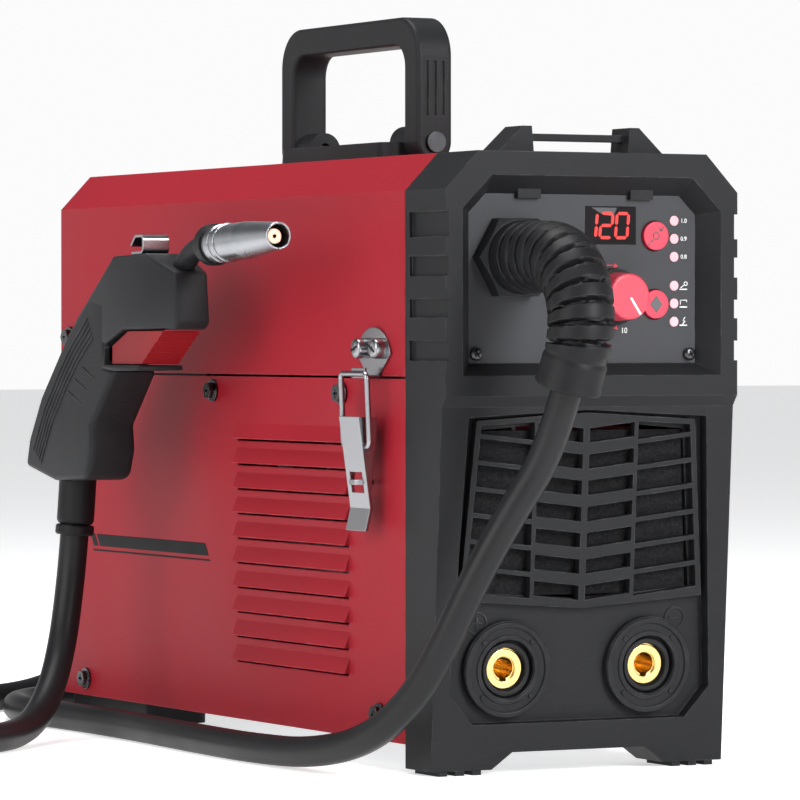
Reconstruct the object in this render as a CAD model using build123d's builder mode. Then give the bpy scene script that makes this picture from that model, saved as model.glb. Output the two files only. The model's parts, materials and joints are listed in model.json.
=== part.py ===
"""Compact gas-less MIG welding machine with its torch, torch cable and wire feeder.

Frame: the origin is the middle of the machine's footprint on the floor.
+Z is up, the control panel faces -Y, and the louvred left side is at -X.
Lengths are millimetres.
"""

import math
import os

from build123d import *

os.makedirs("parts", exist_ok=True)

# ---------------------------------------------------------------- case
HALF_W = 70.0  # half the width of the case
TOP_Z = 259.0  # flat top of the cover
SHOULDER_Z = 243.0  # where the case's top chamfers begin
SHOULDER_IN = 15.3  # how far those chamfers come in
FOOT_Z = 2.0  # underside of the front feet, above their grip ridges
PANEL_Z0 = 12.0  # bottom edge of the side panels
SEAM_Z = 165.0  # joint between the side panels and the cover
SEAM_GAP = 0.5  # half the gap there
SEAM_Y = -160.0  # joint between the front shell and the sheet metal
FRONT_Y = -195.6  # front of the bezel
REAR_Y = 196.0  # rear edge of the cover and side panels
REAR_PANEL_Y = 189.4  # outer face of the rear panel
SHEET = 1.5  # sheet metal

# ---------------------------------------------------------------- front shell
LOWER_Y0 = -182.6  # lower face, at the feet
LOWER_Y1 = -192.1  # lower face, under the bezel
LIP_Z0 = 153.0
LIP_Z1 = 157.5
RECESS = 5.5  # depth of the recess in the lower face
PANEL_Y = -186.6  # front of the control panel
PANEL_T = 2.5
WALL = 3.5
HOLLOW_Y = -183.5  # front limit of the shell's hollow
HOLLOW_Z = 12.5  # bottom of the shell's hollow

# ---------------------------------------------------------------- controls, as (x, z)
DISPLAY = (13.2, 228.8)
DISPLAY_SIZE = (24.6, 16.0)
WIRE_BUTTON = (34.6, 224.6)
MODE_BUTTON = (34.6, 195.8)
KNOB = (12.9, 198.9)
OUTLET = (-34.0, 215.0)
LAMP_X = 44.0
LAMP_Z = (231.1, 223.5, 215.9, 203.7, 196.2, 188.5)
PANEL_SCREW = (51.3, 174.9)
BUTTON_R = 6.0
LAMP_R = 2.1
GLAND_R = 9.0

# ---------------------------------------------------------------- sockets
SOCKET = (33.9, 43.6)
SOCKET_FLANGE_R = 20.25
SOCKET_BODY_R = 16.5
CONTACT_R = 8.5
CONTACT_BORE_R = 4.55
CONTACT_BORE_L = 25.0

# ---------------------------------------------------------------- cover hinge and latch
HINGE_Y = 192.7
HINGE_Z = 168.9
HINGE_SPANS = ((-64.0, -38.0), (38.0, 64.0))
NOTCH_Y = 178.0  # the cover is notched behind this, below NOTCH_Z
NOTCH_Z = 172.3
HEM = 14.0  # width of the cover's rear hem
KNUCKLE_R = 3.1
PIN_R = 1.5
RUNNING = 0.06  # radial clearance of a turning fit
LATCH_Y = -133.0
LEVER_PIVOT = (6.0, 145.0)  # distance out from the panel, height
BAIL_PIVOT = (9.0, 136.0)
BAIL_TOP = (10.4, 166.6)

# ---------------------------------------------------------------- case screws, as (y, z)
PANEL_SCREWS = ((183.0, 159.0), (26.0, 158.0), (-102.0, 158.0), (166.0, 20.0), (-137.0, 23.0))
COVER_SCREW = (185.0, 182.0)

# ---------------------------------------------------------------- carry handle
HANDLE_Y0 = -54.7
HANDLE_Y1 = 82.0
HANDLE_TOP_Z = 324.0
HANDLE_AXIS_Z = 268.2
LEG_HALF = 8.75
LEG_T = 13.5
GRIP_T = 12.5

# ---------------------------------------------------------------- wire feeder
FEED_X = -34.0  # plane that the welding wire runs in
FEED_Z = 215.0
FEED_Y = -70.0
DRIVE_ROLL_R = 12.0
PRESSURE_ROLL_R = 9.0
DRIVE_Z = FEED_Z - DRIVE_ROLL_R - 0.4
PRESSURE_Z = FEED_Z + PRESSURE_ROLL_R + 0.4
ARM_PIVOT = (FEED_Y + 24, 230.0)
ARM_NOSE = (FEED_Y - 20, 226.0)
AXLE_R = 3.0  # arm pivot and pressure roll axle
SCREW_R = 2.0  # tension screw
PLATE_X = -14.0  # left face of the feeder plate
SHELF_Z = 140.0
SPOOL_Y = 90.0
SPOOL_Z = 196.0
SPOOL_R = 50.0
SPOOL_W = 44.0
SPINDLE_R = 7.95

# ---------------------------------------------------------------- power parts
BOARD_Z = 24.0
BOARD_T = 1.6

# ---------------------------------------------------------------- fan and rear panel
FAN = (-5.0, 66.0)
FAN_SIZE = 80.0
FAN_Y0 = 160.0
SWITCH = (38.0, 205.0)
MAINS_GLAND = (40.0, 118.0)

# ---------------------------------------------------------------- torch
TORCH_X = -112.0
TORCH_HALF = 11.0
TRIGGER_STEM = 175.5  # height of the trigger's stem
NOZZLE_BACK = Vector(TORCH_X, -66, 221.8)
NOZZLE_AIM = Vector(0, -60, 2.7).normalized()

# ---------------------------------------------------------------- torch cable and its boot
CABLE_R = 6.5
BOOT_R = 14.0
BOOT_STRAIGHT = 23.0
BOOT_BEND = 32.0
BOOT_TURN = 108.0  # degrees: the boot droops a little past the vertical
COLLAR_L = 12.5
NUT_L = 9.0
FORWARD = Vector(0, -1, 0)
BOOT_DOWN = Vector(-0.12, 0, -0.993).normalized()
BOOT_START = Vector(OUTLET[0], PANEL_Y - NUT_L, OUTLET[1])
EXIT_WAY = FORWARD * math.cos(math.radians(BOOT_TURN)) + BOOT_DOWN * math.sin(math.radians(BOOT_TURN))
COIL_CENTRE = (58.0, 283.0)
COIL_R = 65.0  # middle of the coil's turns
LEAD_ROUTE = [
    (-40.5, -245.2, 161.6),
    (-43.8, -237, 136),
    (-58, -229, 110),
    (-70, -220, 83),
    (-79, -211, 56),
    (-86, -197, 33),
    (-94, -172, 15),
    (-101, -134, 7.5),
    (-104.5, -87, 6.5),
    (-104, -33, 6.5),
    (-101, 25, 6.5),
    (-100, 77, 6.5),
    (-102, 124, 6.5),
    (-105, 160, 6.5),
    (-98, 190, 6.5),
    (-78.5, 215, 6.5),
    (-50, 229, 6.5),
    (-17.5, 229.5, 6.5),
    (15, 221.6, 6.5),
    (44.4, 212.8, 6.5),
]
RETURN_ROUTE = [
    (-3.9, 318.8, 19.5),
    (-20.5, 291, 16.5),
    (-42, 265, 11),
    (-68, 247, 7),
    (-104, 229, 6.5),
    (-146, 207, 6.5),
    (-190, 182, 6.5),
    (-238, 153, 6.5),
    (-284, 124, 6.5),
    (-304, 92, 6.5),
    (-307, 55, 6.5),
    (-292, 20, 6.5),
    (-262, -3, 6.5),
    (-225, -9, 6.5),
    (-189, 5, 6.5),
    (-157, 38, 6.5),
    (-136.5, 60, 18),
    (-122.5, 76, 40.5),
    (-115.5, 82.5, 69),
    (-113, 82.5, 95),
    (-112, 81, 121),
]

lower_length = math.hypot(LIP_Z0 - FOOT_Z, LOWER_Y0 - LOWER_Y1)
lower_face = Plane(
    origin=(0, LOWER_Y0, FOOT_Z),
    x_dir=(1, 0, 0),
    z_dir=(0, FOOT_Z - LIP_Z0, LOWER_Y1 - LOWER_Y0),
)
recess_floor = lower_face.offset(-RECESS)


def on_lower(x, z):
    """A point of the sloping lower face, given by its height above the floor."""
    return (x, (z - FOOT_Z) * lower_length / (LIP_Z0 - FOOT_Z))


def mirrored(points):
    """A closed outline from its right half, listed from the bottom middle to the top middle."""
    return points + [(-x, z) for x, z in reversed(points) if x > 0]


def case_outline(bottom):
    """The case seen from the front, down to a height."""
    half = [(HALF_W, bottom), (HALF_W, SHOULDER_Z), (HALF_W - SHOULDER_IN, TOP_Z)]
    Polygon(*mirrored(half), align=None)


def panel_outline(grow):
    """The control panel's outline, with its two top corners cut off."""
    side = 54.5 + grow
    half = [(side, 171 - grow), (side, 233.6), (46.5, 241.6 + grow)]
    Polygon(*mirrored(half), align=None)


def front_shell():
    """Black moulding: bezel, lower face, front feet, and the low bridge on top."""
    with BuildPart() as shell:
        with BuildSketch(Plane.YZ.offset(-HALF_W)):
            Polygon(
                (SEAM_Y, FOOT_Z),
                (LOWER_Y0, FOOT_Z),
                (LOWER_Y1, LIP_Z0),
                (FRONT_Y, LIP_Z1),
                (FRONT_Y, TOP_Z),
                (SEAM_Y, TOP_Z),
                align=None,
            )
        extrude(amount=2 * HALF_W)
        with BuildSketch(Plane.XZ.offset(-SEAM_Y)):
            case_outline(FOOT_Z)
        extrude(amount=SEAM_Y - FRONT_Y, mode=Mode.INTERSECT)
        # the hollow, open at the back
        with BuildSketch(Plane.YZ.offset(WALL - HALF_W)):
            Polygon(
                (SEAM_Y, HOLLOW_Z),
                (LOWER_Y0 + RECESS + WALL, HOLLOW_Z),
                (HOLLOW_Y, LIP_Z0),
                (HOLLOW_Y, TOP_Z - WALL),
                (SEAM_Y, TOP_Z - WALL),
                align=None,
            )
        hollow = extrude(amount=2 * (HALF_W - WALL), mode=Mode.PRIVATE)
        with BuildSketch(Plane.XZ.offset(-SEAM_Y)) as inside:
            case_outline(HOLLOW_Z)
            offset(amount=-WALL, kind=Kind.INTERSECTION, mode=Mode.REPLACE)
            with Locations((0, HOLLOW_Z)):
                Rectangle(2 * (HALF_W - WALL), 2 * WALL, align=(Align.CENTER, Align.MIN))
        tunnel = extrude(inside.sketch, amount=SEAM_Y - FRONT_Y, mode=Mode.PRIVATE)
        add(hollow & tunnel, mode=Mode.SUBTRACT)
        # bezel mouth, narrowing to the control panel
        with BuildSketch(Plane.XZ.offset(-PANEL_Y)):
            panel_outline(0)
        with BuildSketch(Plane.XZ.offset(-FRONT_Y)):
            Polygon(*mirrored([(62, 166), (62, 235), (48, 249)]), align=None)
        loft(mode=Mode.SUBTRACT)
        with BuildSketch(Plane.XZ.offset(-PANEL_Y)):
            panel_outline(0.1)
        extrude(amount=PANEL_Y - HOLLOW_Y, mode=Mode.SUBTRACT)
        # ledges behind the panel's screws, and clips over its top edge
        with BuildSketch(Plane.XZ.offset(-PANEL_Y - PANEL_T)):
            with Locations((PANEL_SCREW[0] + 1, PANEL_SCREW[1] - 1)):
                Rectangle(14, 12)
            with Locations((-PANEL_SCREW[0] - 1, PANEL_SCREW[1] - 1)):
                Rectangle(14, 12)
        extrude(amount=-5)
        with BuildSketch(Plane.XZ.offset(-PANEL_Y)):
            with Locations((27, 242), (-27, 242)):
                Rectangle(11, 4.6)
        extrude(amount=2.5)
        with BuildSketch(Plane.XZ.offset(-PANEL_Y)):
            with Locations(PANEL_SCREW, (-PANEL_SCREW[0], PANEL_SCREW[1])):
                Circle(1.5)
        extrude(amount=-8, mode=Mode.SUBTRACT)
        # recess of the lower face
        with BuildSketch(lower_face):
            half = [on_lower(51, 21), on_lower(62.5, 34), on_lower(57, 148.6), on_lower(0, 151.6)]
            Polygon(*mirrored(half), align=None)
        extrude(amount=-RECESS, mode=Mode.SUBTRACT)
        with BuildSketch(recess_floor):
            half = [on_lower(0, 72), on_lower(54, 76), on_lower(49, 143), on_lower(0, 147)]
            Polygon(*mirrored(half), align=None)
            with Locations(on_lower(*SOCKET), on_lower(-SOCKET[0], SOCKET[1])):
                Circle(SOCKET_BODY_R + 0.3)
        extrude(amount=-2 * WALL, mode=Mode.SUBTRACT)
        # grip recesses on both sides of the bezel
        for side in (-1, 1):
            with BuildSketch(Plane.YZ.offset(side * HALF_W)):
                for low, high in ((172.2, 180.5), (190, 197.8), (207.2, 215.6), (223.4, 233.9)):
                    with Locations((-180, (low + high) / 2)):
                        Rectangle(33, high - low)
            extrude(amount=-side * 1.6, mode=Mode.SUBTRACT)
        # arch between the front feet, and the grip ridges under them
        with BuildSketch(Plane.XZ.offset(-SEAM_Y)):
            Polygon((-41.4, FOOT_Z), (41.4, FOOT_Z), (31.8, 9), (-31.8, 9), align=None)
        extrude(amount=SEAM_Y - FRONT_Y, mode=Mode.SUBTRACT)
        with BuildSketch(Plane.XY):
            with Locations(*[(x * side, -171.5) for x in (48, 56, 64) for side in (-1, 1)]):
                Rectangle(4, 21)
        extrude(amount=FOOT_Z)
        # bridge on top: two raked posts and a bar
        with BuildSketch(Plane.XZ.offset(170)):
            for side in (-1, 1):
                outline = [(22.6, 258.5), (40.3, 258.5), (28, 270), (23.6, 270)]
                Polygon(*[(side * x, z) for x, z in outline], align=None)
        extrude(amount=15)
        with BuildSketch(Plane.XZ.offset(175)):
            with Locations((0, 265.5)):
                Rectangle(48, 3)
        extrude(amount=5)
    return shell


def control_panel():
    """Flat plate in the bezel, with its holes."""
    with BuildPart() as panel:
        with BuildSketch(Plane.XZ.offset(-PANEL_Y)):
            panel_outline(0)
            with Locations(DISPLAY):
                Rectangle(*DISPLAY_SIZE, mode=Mode.SUBTRACT)
            with Locations(WIRE_BUTTON, MODE_BUTTON):
                Circle(BUTTON_R + 0.4, mode=Mode.SUBTRACT)
            with Locations(KNOB):
                Circle(3.4, mode=Mode.SUBTRACT)
            with Locations(OUTLET):
                Circle(GLAND_R, mode=Mode.SUBTRACT)
            with Locations(*[(LAMP_X, z) for z in LAMP_Z]):
                Circle(LAMP_R, mode=Mode.SUBTRACT)
            with Locations(PANEL_SCREW, (-PANEL_SCREW[0], PANEL_SCREW[1])):
                Circle(1.5, mode=Mode.SUBTRACT)
        extrude(amount=-PANEL_T)
    return panel


def display_window():
    """Tinted lens of the display."""
    with BuildPart() as window:
        with BuildSketch(Plane.XZ.offset(-PANEL_Y)):
            with Locations(DISPLAY):
                Rectangle(*DISPLAY_SIZE)
        extrude(amount=-PANEL_T)
        with BuildSketch(Plane.XZ.offset(-PANEL_Y - PANEL_T)):
            with Locations(DISPLAY):
                Rectangle(DISPLAY_SIZE[0] + 2.4, DISPLAY_SIZE[1] + 4)
        extrude(amount=-6)
    return window


def indicator_lenses():
    """Six round lamp lenses."""
    with BuildPart() as lenses:
        with BuildSketch(Plane.XZ.offset(-PANEL_Y + 0.5)):
            with Locations(*[(LAMP_X, z) for z in LAMP_Z]):
                Circle(LAMP_R)
        extrude(amount=-5)
    return lenses


def push_button(place):
    """Round cap that stands proud of the panel, with a retaining flange behind it."""
    with BuildPart() as button:
        with BuildSketch(Plane.XZ.offset(-PANEL_Y + 1.6)):
            with Locations(place):
                Circle(BUTTON_R)
        extrude(amount=-PANEL_T - 1.9)
        with BuildSketch(Plane.XZ.offset(-PANEL_Y - PANEL_T - 0.3)):
            with Locations(place):
                Circle(BUTTON_R + 1.2)
        extrude(amount=-1.2)
    return button


def knob_skirt():
    """Black skirt of the control knob, with the shaft it turns on."""
    with BuildPart() as skirt:
        with BuildSketch(Plane.XZ.offset(-PANEL_Y + 0.6)):
            with Locations(KNOB):
                Circle(12)
        extrude(amount=6, taper=4)
        with BuildSketch(Plane.XZ.offset(-PANEL_Y + 0.6)):
            with Locations(KNOB):
                Circle(3)
        extrude(amount=-14)
    return skirt


def knob_cap():
    """Red cap of the control knob."""
    with BuildPart() as cap:
        with BuildSketch(Plane.XZ.offset(-PANEL_Y + 6.6)):
            with Locations(KNOB):
                Circle(10.2)
        extrude(amount=10.4, taper=3)
        rim = cap.edges().sort_by(Axis.Y)[0]
        fillet(rim, 1.2)
    return cap


def front_grille():
    """Black insert with falling chevron slats, a centre rib and two side ribs."""
    rise = math.tan(math.radians(6.6))
    with BuildPart() as grille:
        outline = [on_lower(0, 68.3), on_lower(58.2, 72.5), on_lower(52.4, 147.3), on_lower(0, 150.4)]
        with BuildSketch(recess_floor):
            Polygon(*mirrored(outline), align=None)
        extrude(amount=4)
        with BuildSketch(recess_floor) as gaps:
            Polygon(*mirrored(outline), align=None)
            offset(amount=-2.4, kind=Kind.INTERSECTION, mode=Mode.REPLACE)
            for row in range(8):
                low = 66.6 + 11 * row
                step = low + 24 * rise
                end = low + 60 * rise
                for side in (-1, 1):
                    slat = [
                        (0, low),
                        (24, step),
                        (24, step + 1.5),
                        (60, end + 1.5),
                        (60, end + 3.5),
                        (24, step + 3.5),
                        (24, step + 5),
                        (0, low + 5),
                    ]
                    Polygon(*[on_lower(side * x, z) for x, z in slat], align=None, mode=Mode.SUBTRACT)
            for x, width in ((-24, 1.8), (0, 3), (24, 1.8)):
                with Locations(on_lower(x, 110)):
                    Rectangle(width, 90, mode=Mode.SUBTRACT)
        extrude(gaps.sketch, amount=4, mode=Mode.SUBTRACT)
    return grille


def socket_bodies():
    """Moulded bodies of the two cable sockets."""
    places = [on_lower(*SOCKET), on_lower(-SOCKET[0], SOCKET[1])]
    with BuildPart() as bodies:
        with BuildSketch(recess_floor):
            with Locations(*places):
                Circle(SOCKET_FLANGE_R)
        extrude(amount=3)
        with BuildSketch(recess_floor):
            with Locations(*places):
                Circle(SOCKET_BODY_R)
        extrude(amount=-30)
        with BuildSketch(recess_floor.offset(3)):
            with Locations(*places):
                Circle(12.5)
        extrude(amount=-3.9, mode=Mode.SUBTRACT)
        with BuildSketch(recess_floor.offset(3)):
            with Locations(*places):
                Circle(CONTACT_R)
        extrude(amount=-40, mode=Mode.SUBTRACT)
    return bodies


def socket_contacts():
    """Brass contacts with a keyed bore and a rear stud."""
    places = [on_lower(*SOCKET), on_lower(-SOCKET[0], SOCKET[1])]
    face = recess_floor.offset(-0.9)
    with BuildPart() as contacts:
        with BuildSketch(face):
            with Locations(*places):
                Circle(CONTACT_R)
        extrude(amount=-32)
        with BuildSketch(face.offset(-32)):
            with Locations(*places):
                Circle(4)
        extrude(amount=-10)
        with BuildSketch(face):
            with Locations(*places):
                Circle(CONTACT_BORE_R)
            with Locations(*[(x, y - CONTACT_BORE_R) for x, y in places]):
                Rectangle(3.2, 4)
        extrude(amount=-CONTACT_BORE_L, mode=Mode.SUBTRACT)
    return contacts


def outlet_gland():
    """Threaded barrel through the panel and the wire guide that leads to it."""
    with BuildPart() as gland:
        with BuildSketch(Plane.XZ.offset(-PANEL_Y + NUT_L)):
            with Locations(OUTLET):
                Circle(GLAND_R)
        extrude(amount=-34)
        with BuildSketch(Plane.XZ.offset(-PANEL_Y - 25)):
            with Locations(OUTLET):
                Circle(3)
        extrude(amount=-(FEED_Y - PANEL_Y - 25 - 14))
    return gland


def outlet_nut():
    """Black hexagonal nut, flats up and down, on the panel."""
    with BuildPart() as nut:
        with BuildSketch(Plane.XZ.offset(-PANEL_Y)):
            with Locations(OUTLET):
                RegularPolygon(16.15, 6, major_radius=False)
        extrude(amount=8)
        with BuildSketch(Plane.XZ.offset(-PANEL_Y)):
            with Locations(OUTLET):
                Circle(GLAND_R)
        extrude(amount=8, mode=Mode.SUBTRACT)
    return nut


def boot_point(turn):
    """A point of the boot's bend, by the angle turned so far."""
    angle = math.radians(turn)
    along = FORWARD * (BOOT_STRAIGHT + BOOT_BEND * math.sin(angle))
    return BOOT_START + along + BOOT_DOWN * BOOT_BEND * (1 - math.cos(angle))


def strain_relief_boot():
    """Boot that leaves the nut, turns down and a little back, and ends in a collar."""
    with BuildPart() as boot:
        with BuildLine():
            Line(BOOT_START, boot_point(0))
            ThreePointArc(boot_point(0), boot_point(BOOT_TURN / 2), boot_point(BOOT_TURN))
        with BuildSketch(Plane(origin=BOOT_START, x_dir=(1, 0, 0), z_dir=FORWARD)):
            Circle(BOOT_R)
        sweep()
        with BuildSketch(Plane(origin=boot_point(BOOT_TURN), z_dir=EXIT_WAY)):
            Circle(BOOT_R)
        extrude(amount=COLLAR_L)
    return boot


def louvre_rows():
    """Heights of the lower edges of the louvres."""
    return [136.9 - 10.94 * row for row in range(10)]


def side_panel(side):
    """Lower side panel with ten pressed louvres; side is -1 for left and 1 for right."""
    outer = side * HALF_W
    with BuildPart() as panel:
        with BuildSketch(Plane.YZ.offset(outer)):
            Polygon(
                (SEAM_Y, PANEL_Z0),
                (REAR_Y, PANEL_Z0),
                (REAR_Y, SEAM_Z - SEAM_GAP),
                (SEAM_Y, SEAM_Z - SEAM_GAP),
                align=None,
            )
        extrude(amount=-side * SHEET)
        with BuildSketch(Plane.XZ.offset(109)):
            for low in louvre_rows():
                hood = [(HALF_W - 0.4, low + 8), (HALF_W + 2.6, low), (HALF_W - 0.4, low)]
                Polygon(*[(side * x, z) for x, z in hood], align=None)
        extrude(amount=-111)
        with BuildSketch(Plane.XZ.offset(108)):
            for low in louvre_rows():
                inside = [(HALF_W - 3, low + 9.6), (HALF_W + 1.6, low - 1), (HALF_W - 3, low - 1)]
                Polygon(*[(side * x, z) for x, z in inside], align=None)
        extrude(amount=-109, mode=Mode.SUBTRACT)
    return panel


def base_tray():
    """Folded steel tray that the side panels and the power parts stand on."""
    inner = HALF_W - SHEET
    with BuildPart() as tray:
        with BuildSketch(Plane.XY.offset(PANEL_Z0)):
            with Locations((0, (SEAM_Y + 186) / 2)):
                Rectangle(2 * inner, 186 - SEAM_Y)
        extrude(amount=14)
        with BuildSketch(Plane.XY.offset(PANEL_Z0 + SHEET)):
            with Locations((0, (SEAM_Y + 186) / 2)):
                Rectangle(2 * (inner - SHEET), 186 - SEAM_Y)
        extrude(amount=14, mode=Mode.SUBTRACT)
    return tray


def rear_feet():
    """Two long black feet with a round boss and grip ridges."""
    with BuildPart() as feet:
        with BuildSketch(Plane.XY.offset(FOOT_Z)):
            for side in (-1, 1):
                with Locations((side * 51, 148.5)):
                    RectangleRounded(30, 93, 6)
        extrude(amount=PANEL_Z0 - FOOT_Z)
        with BuildSketch(Plane.XY):
            with Locations(*[(side * 51, y) for side in (-1, 1) for y in (115, 148.5, 182)]):
                Rectangle(24, 5)
        extrude(amount=FOOT_Z)
    return feet


def rear_panel():
    """Rear plate with the fan grille, switch cut-out, gland hole and hinge seats."""
    thick = REAR_PANEL_Y - 186
    with BuildPart() as panel:
        with BuildSketch(Plane.XZ.offset(-REAR_PANEL_Y)):
            case_outline(PANEL_Z0)
            offset(amount=-SHEET - 0.9, kind=Kind.INTERSECTION, mode=Mode.REPLACE)
            with Locations((0, PANEL_Z0)):
                Rectangle(2 * (HALF_W - SHEET - 0.9), 10, align=(Align.CENTER, Align.MIN))
            with Locations(SWITCH):
                Rectangle(20, 28, mode=Mode.SUBTRACT)
            with Locations(MAINS_GLAND):
                Circle(8, mode=Mode.SUBTRACT)
            for row in range(7):
                height = (row - 3) * 10.0
                width = 2 * math.sqrt(37.0**2 - height**2)
                with Locations((FAN[0], FAN[1] + height)):
                    Rectangle(width, 5.5, mode=Mode.SUBTRACT)
        extrude(amount=thick)
    return panel


def top_cover():
    """Opening cover: a folded sheet with two shoulders, notched at its lower rear corners."""
    length = REAR_Y - SEAM_Y - SEAM_GAP
    with BuildPart() as cover:
        with BuildSketch(Plane.XZ.offset(-REAR_Y)):
            case_outline(SEAM_Z + SEAM_GAP)
            offset(amount=-SHEET, kind=Kind.INTERSECTION, mode=Mode.SUBTRACT)
            with Locations((0, SEAM_Z)):
                Rectangle(2 * (HALF_W - SHEET), 5, align=(Align.CENTER, Align.MIN), mode=Mode.SUBTRACT)
        extrude(amount=length)
        with BuildSketch(Plane.YZ.offset(-HALF_W)):
            Polygon((NOTCH_Y, 160), (200, 160), (200, NOTCH_Z), (NOTCH_Y, NOTCH_Z), align=None)
        extrude(amount=2 * HALF_W, mode=Mode.SUBTRACT)
        # hem turned in round the rear edge, which the hinges are fixed to
        with BuildSketch(Plane.XZ.offset(-REAR_Y)):
            case_outline(NOTCH_Z)
            offset(amount=-HEM, kind=Kind.INTERSECTION, mode=Mode.SUBTRACT)
            with Locations((0, NOTCH_Z)):
                Rectangle(2 * (HALF_W - HEM), HEM + 1, align=(Align.CENTER, Align.MIN), mode=Mode.SUBTRACT)
        extrude(amount=SHEET)
    return cover


def hinge_leaves_fixed():
    """Outer knuckles of both cover hinges, with the leaf on the rear panel."""
    with BuildPart() as leaves:
        for x0, x1 in HINGE_SPANS:
            with BuildSketch(Plane.YZ.offset(x0)):
                with Locations((HINGE_Y, HINGE_Z)):
                    Circle(KNUCKLE_R)
                with Locations(((REAR_PANEL_Y + HINGE_Y - 2) / 2, HINGE_Z - 7)):
                    Rectangle(HINGE_Y - 2 - REAR_PANEL_Y, 14)
            extrude(amount=x1 - x0)
            with BuildSketch(Plane.YZ.offset(x0 + 8)):
                with Locations((HINGE_Y, HINGE_Z)):
                    Rectangle(2 * KNUCKLE_R + 0.9, 2 * KNUCKLE_R + 0.9)
            extrude(amount=x1 - x0 - 16, mode=Mode.SUBTRACT)
            with BuildSketch(Plane.YZ.offset(x0)):
                with Locations((HINGE_Y, HINGE_Z)):
                    Circle(PIN_R)
            extrude(amount=x1 - x0, mode=Mode.SUBTRACT)
    return leaves


def hinge_leaves_moving():
    """Middle knuckles, each with a plate fixed to the cover's hem."""
    with BuildPart() as leaves:
        for x0, x1 in HINGE_SPANS:
            low, high = x0 + 8.4, x1 - 8.4
            side = math.copysign(1, x0)
            with BuildSketch(Plane.YZ.offset(low)):
                with Locations((HINGE_Y, HINGE_Z)):
                    Circle(KNUCKLE_R)
                with Locations((REAR_Y - SHEET - 0.8, HINGE_Z)):
                    Rectangle(1.6, 18, align=(Align.CENTER, Align.MIN))
            extrude(amount=high - low)
            with BuildSketch(Plane.YZ.offset(side * 47)):
                with Locations((REAR_Y - SHEET - 0.8, HINGE_Z + 4.4)):
                    Rectangle(1.6, 13.6, align=(Align.CENTER, Align.MIN))
            extrude(amount=side * 19)
            with BuildSketch(Plane.YZ.offset(low)):
                with Locations((HINGE_Y, HINGE_Z)):
                    Circle(PIN_R + RUNNING)
            extrude(amount=high - low, mode=Mode.SUBTRACT)
    return leaves


def hinge_pins():
    """Plain pins of both cover hinges."""
    with BuildPart() as pins:
        for x0, x1 in HINGE_SPANS:
            with BuildSketch(Plane.YZ.offset(x0)):
                with Locations((HINGE_Y, HINGE_Z)):
                    Circle(PIN_R)
            extrude(amount=x1 - x0)
    return pins


def hex_screws(plane, places):
    """Flanged hexagon screws with a cross recess, heads along the plane's normal."""
    with BuildPart() as screws:
        with BuildSketch(plane):
            with Locations(*places):
                Circle(5)
        extrude(amount=1.2)
        with BuildSketch(plane.offset(1.2)):
            with Locations(*places):
                RegularPolygon(3.5, 6, major_radius=False)
        extrude(amount=2.4)
        with BuildSketch(plane.offset(3.6)):
            with Locations(*places):
                Rectangle(4, 1)
                Rectangle(1, 4)
        extrude(amount=-1.6, mode=Mode.SUBTRACT)
    return screws.part


def outward(side):
    """Outer face of a side panel: sketch y is the height, extrusion goes outwards."""
    return Plane(origin=(side * HALF_W, 0, 0), x_dir=(0, side, 0), z_dir=(side, 0, 0))


def case_screws():
    """Screws of the side panels, and the round screws of the control panel."""
    with BuildPart() as screws:
        for side in (-1, 1):
            add(hex_screws(outward(side), [(side * y, z) for y, z in PANEL_SCREWS]))
        places = [PANEL_SCREW, (-PANEL_SCREW[0], PANEL_SCREW[1])]
        with BuildSketch(Plane.XZ.offset(-PANEL_Y)):
            with Locations(*places):
                Circle(2.65)
        extrude(amount=1.5)
        with BuildSketch(Plane.XZ.offset(-PANEL_Y)):
            with Locations(*places):
                Circle(1.5)
        extrude(amount=-7)
    return screws


def cover_screws():
    """Screws of the cover, and the raised screws of both latch catches."""
    with BuildPart() as screws:
        for side in (-1, 1):
            face = outward(side)
            add(hex_screws(face, [(side * COVER_SCREW[0], COVER_SCREW[1])]))
            with BuildSketch(face.offset(1.2)):
                with Locations(*[(side * (LATCH_Y + y), 177.2) for y in (-8, 8)]):
                    Circle(4)
            extrude(amount=4.4)
    return screws


def latch_section(side, y):
    """Cross-section plane of a latch: sketch x is the distance out from the panel, sketch y the height."""
    return Plane(origin=(side * HALF_W, y, 0), x_dir=(side, 0, 0), z_dir=(0, -side, 0))


def latch_slab(side, outline, low, high):
    """A profile drawn in a latch's cross-section, between two distances from its middle."""
    with BuildPart() as slab:
        with BuildSketch(latch_section(side, LATCH_Y - side * low)):
            Polygon(*outline, align=None)
        extrude(amount=high - low)
    return slab.part


def latch_bases():
    """Base plates with two pivot ears and a padlock staple, one on each side panel."""
    with BuildPart() as bases:
        for side in (-1, 1):
            add(latch_slab(side, [(0, 104), (1.4, 104), (1.4, 156), (0, 156)], -8, 8))
            for low in (-7.0, 5.6):
                ear = [(1.4, 138), (8.4, 142), (8.4, 147.6), (1.4, 149.6)]
                add(latch_slab(side, ear, low, low + 1.4))
            with BuildSketch(latch_section(side, LATCH_Y - side * -8)):
                with Locations(LEVER_PIVOT):
                    Circle(1.5)
            extrude(amount=16, mode=Mode.SUBTRACT)
            with BuildSketch(Plane.XY.offset(119.9)):
                with Locations((side * (HALF_W + 6.6), LATCH_Y)):
                    Circle(5.2)
                    Circle(3, mode=Mode.SUBTRACT)
            extrude(amount=2.2)
            with BuildSketch(Plane.XY.offset(119.9)):
                with Locations((side * (HALF_W + 1.4), LATCH_Y)):
                    Rectangle(2, 6)
            extrude(amount=2.2)
    return bases


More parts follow.
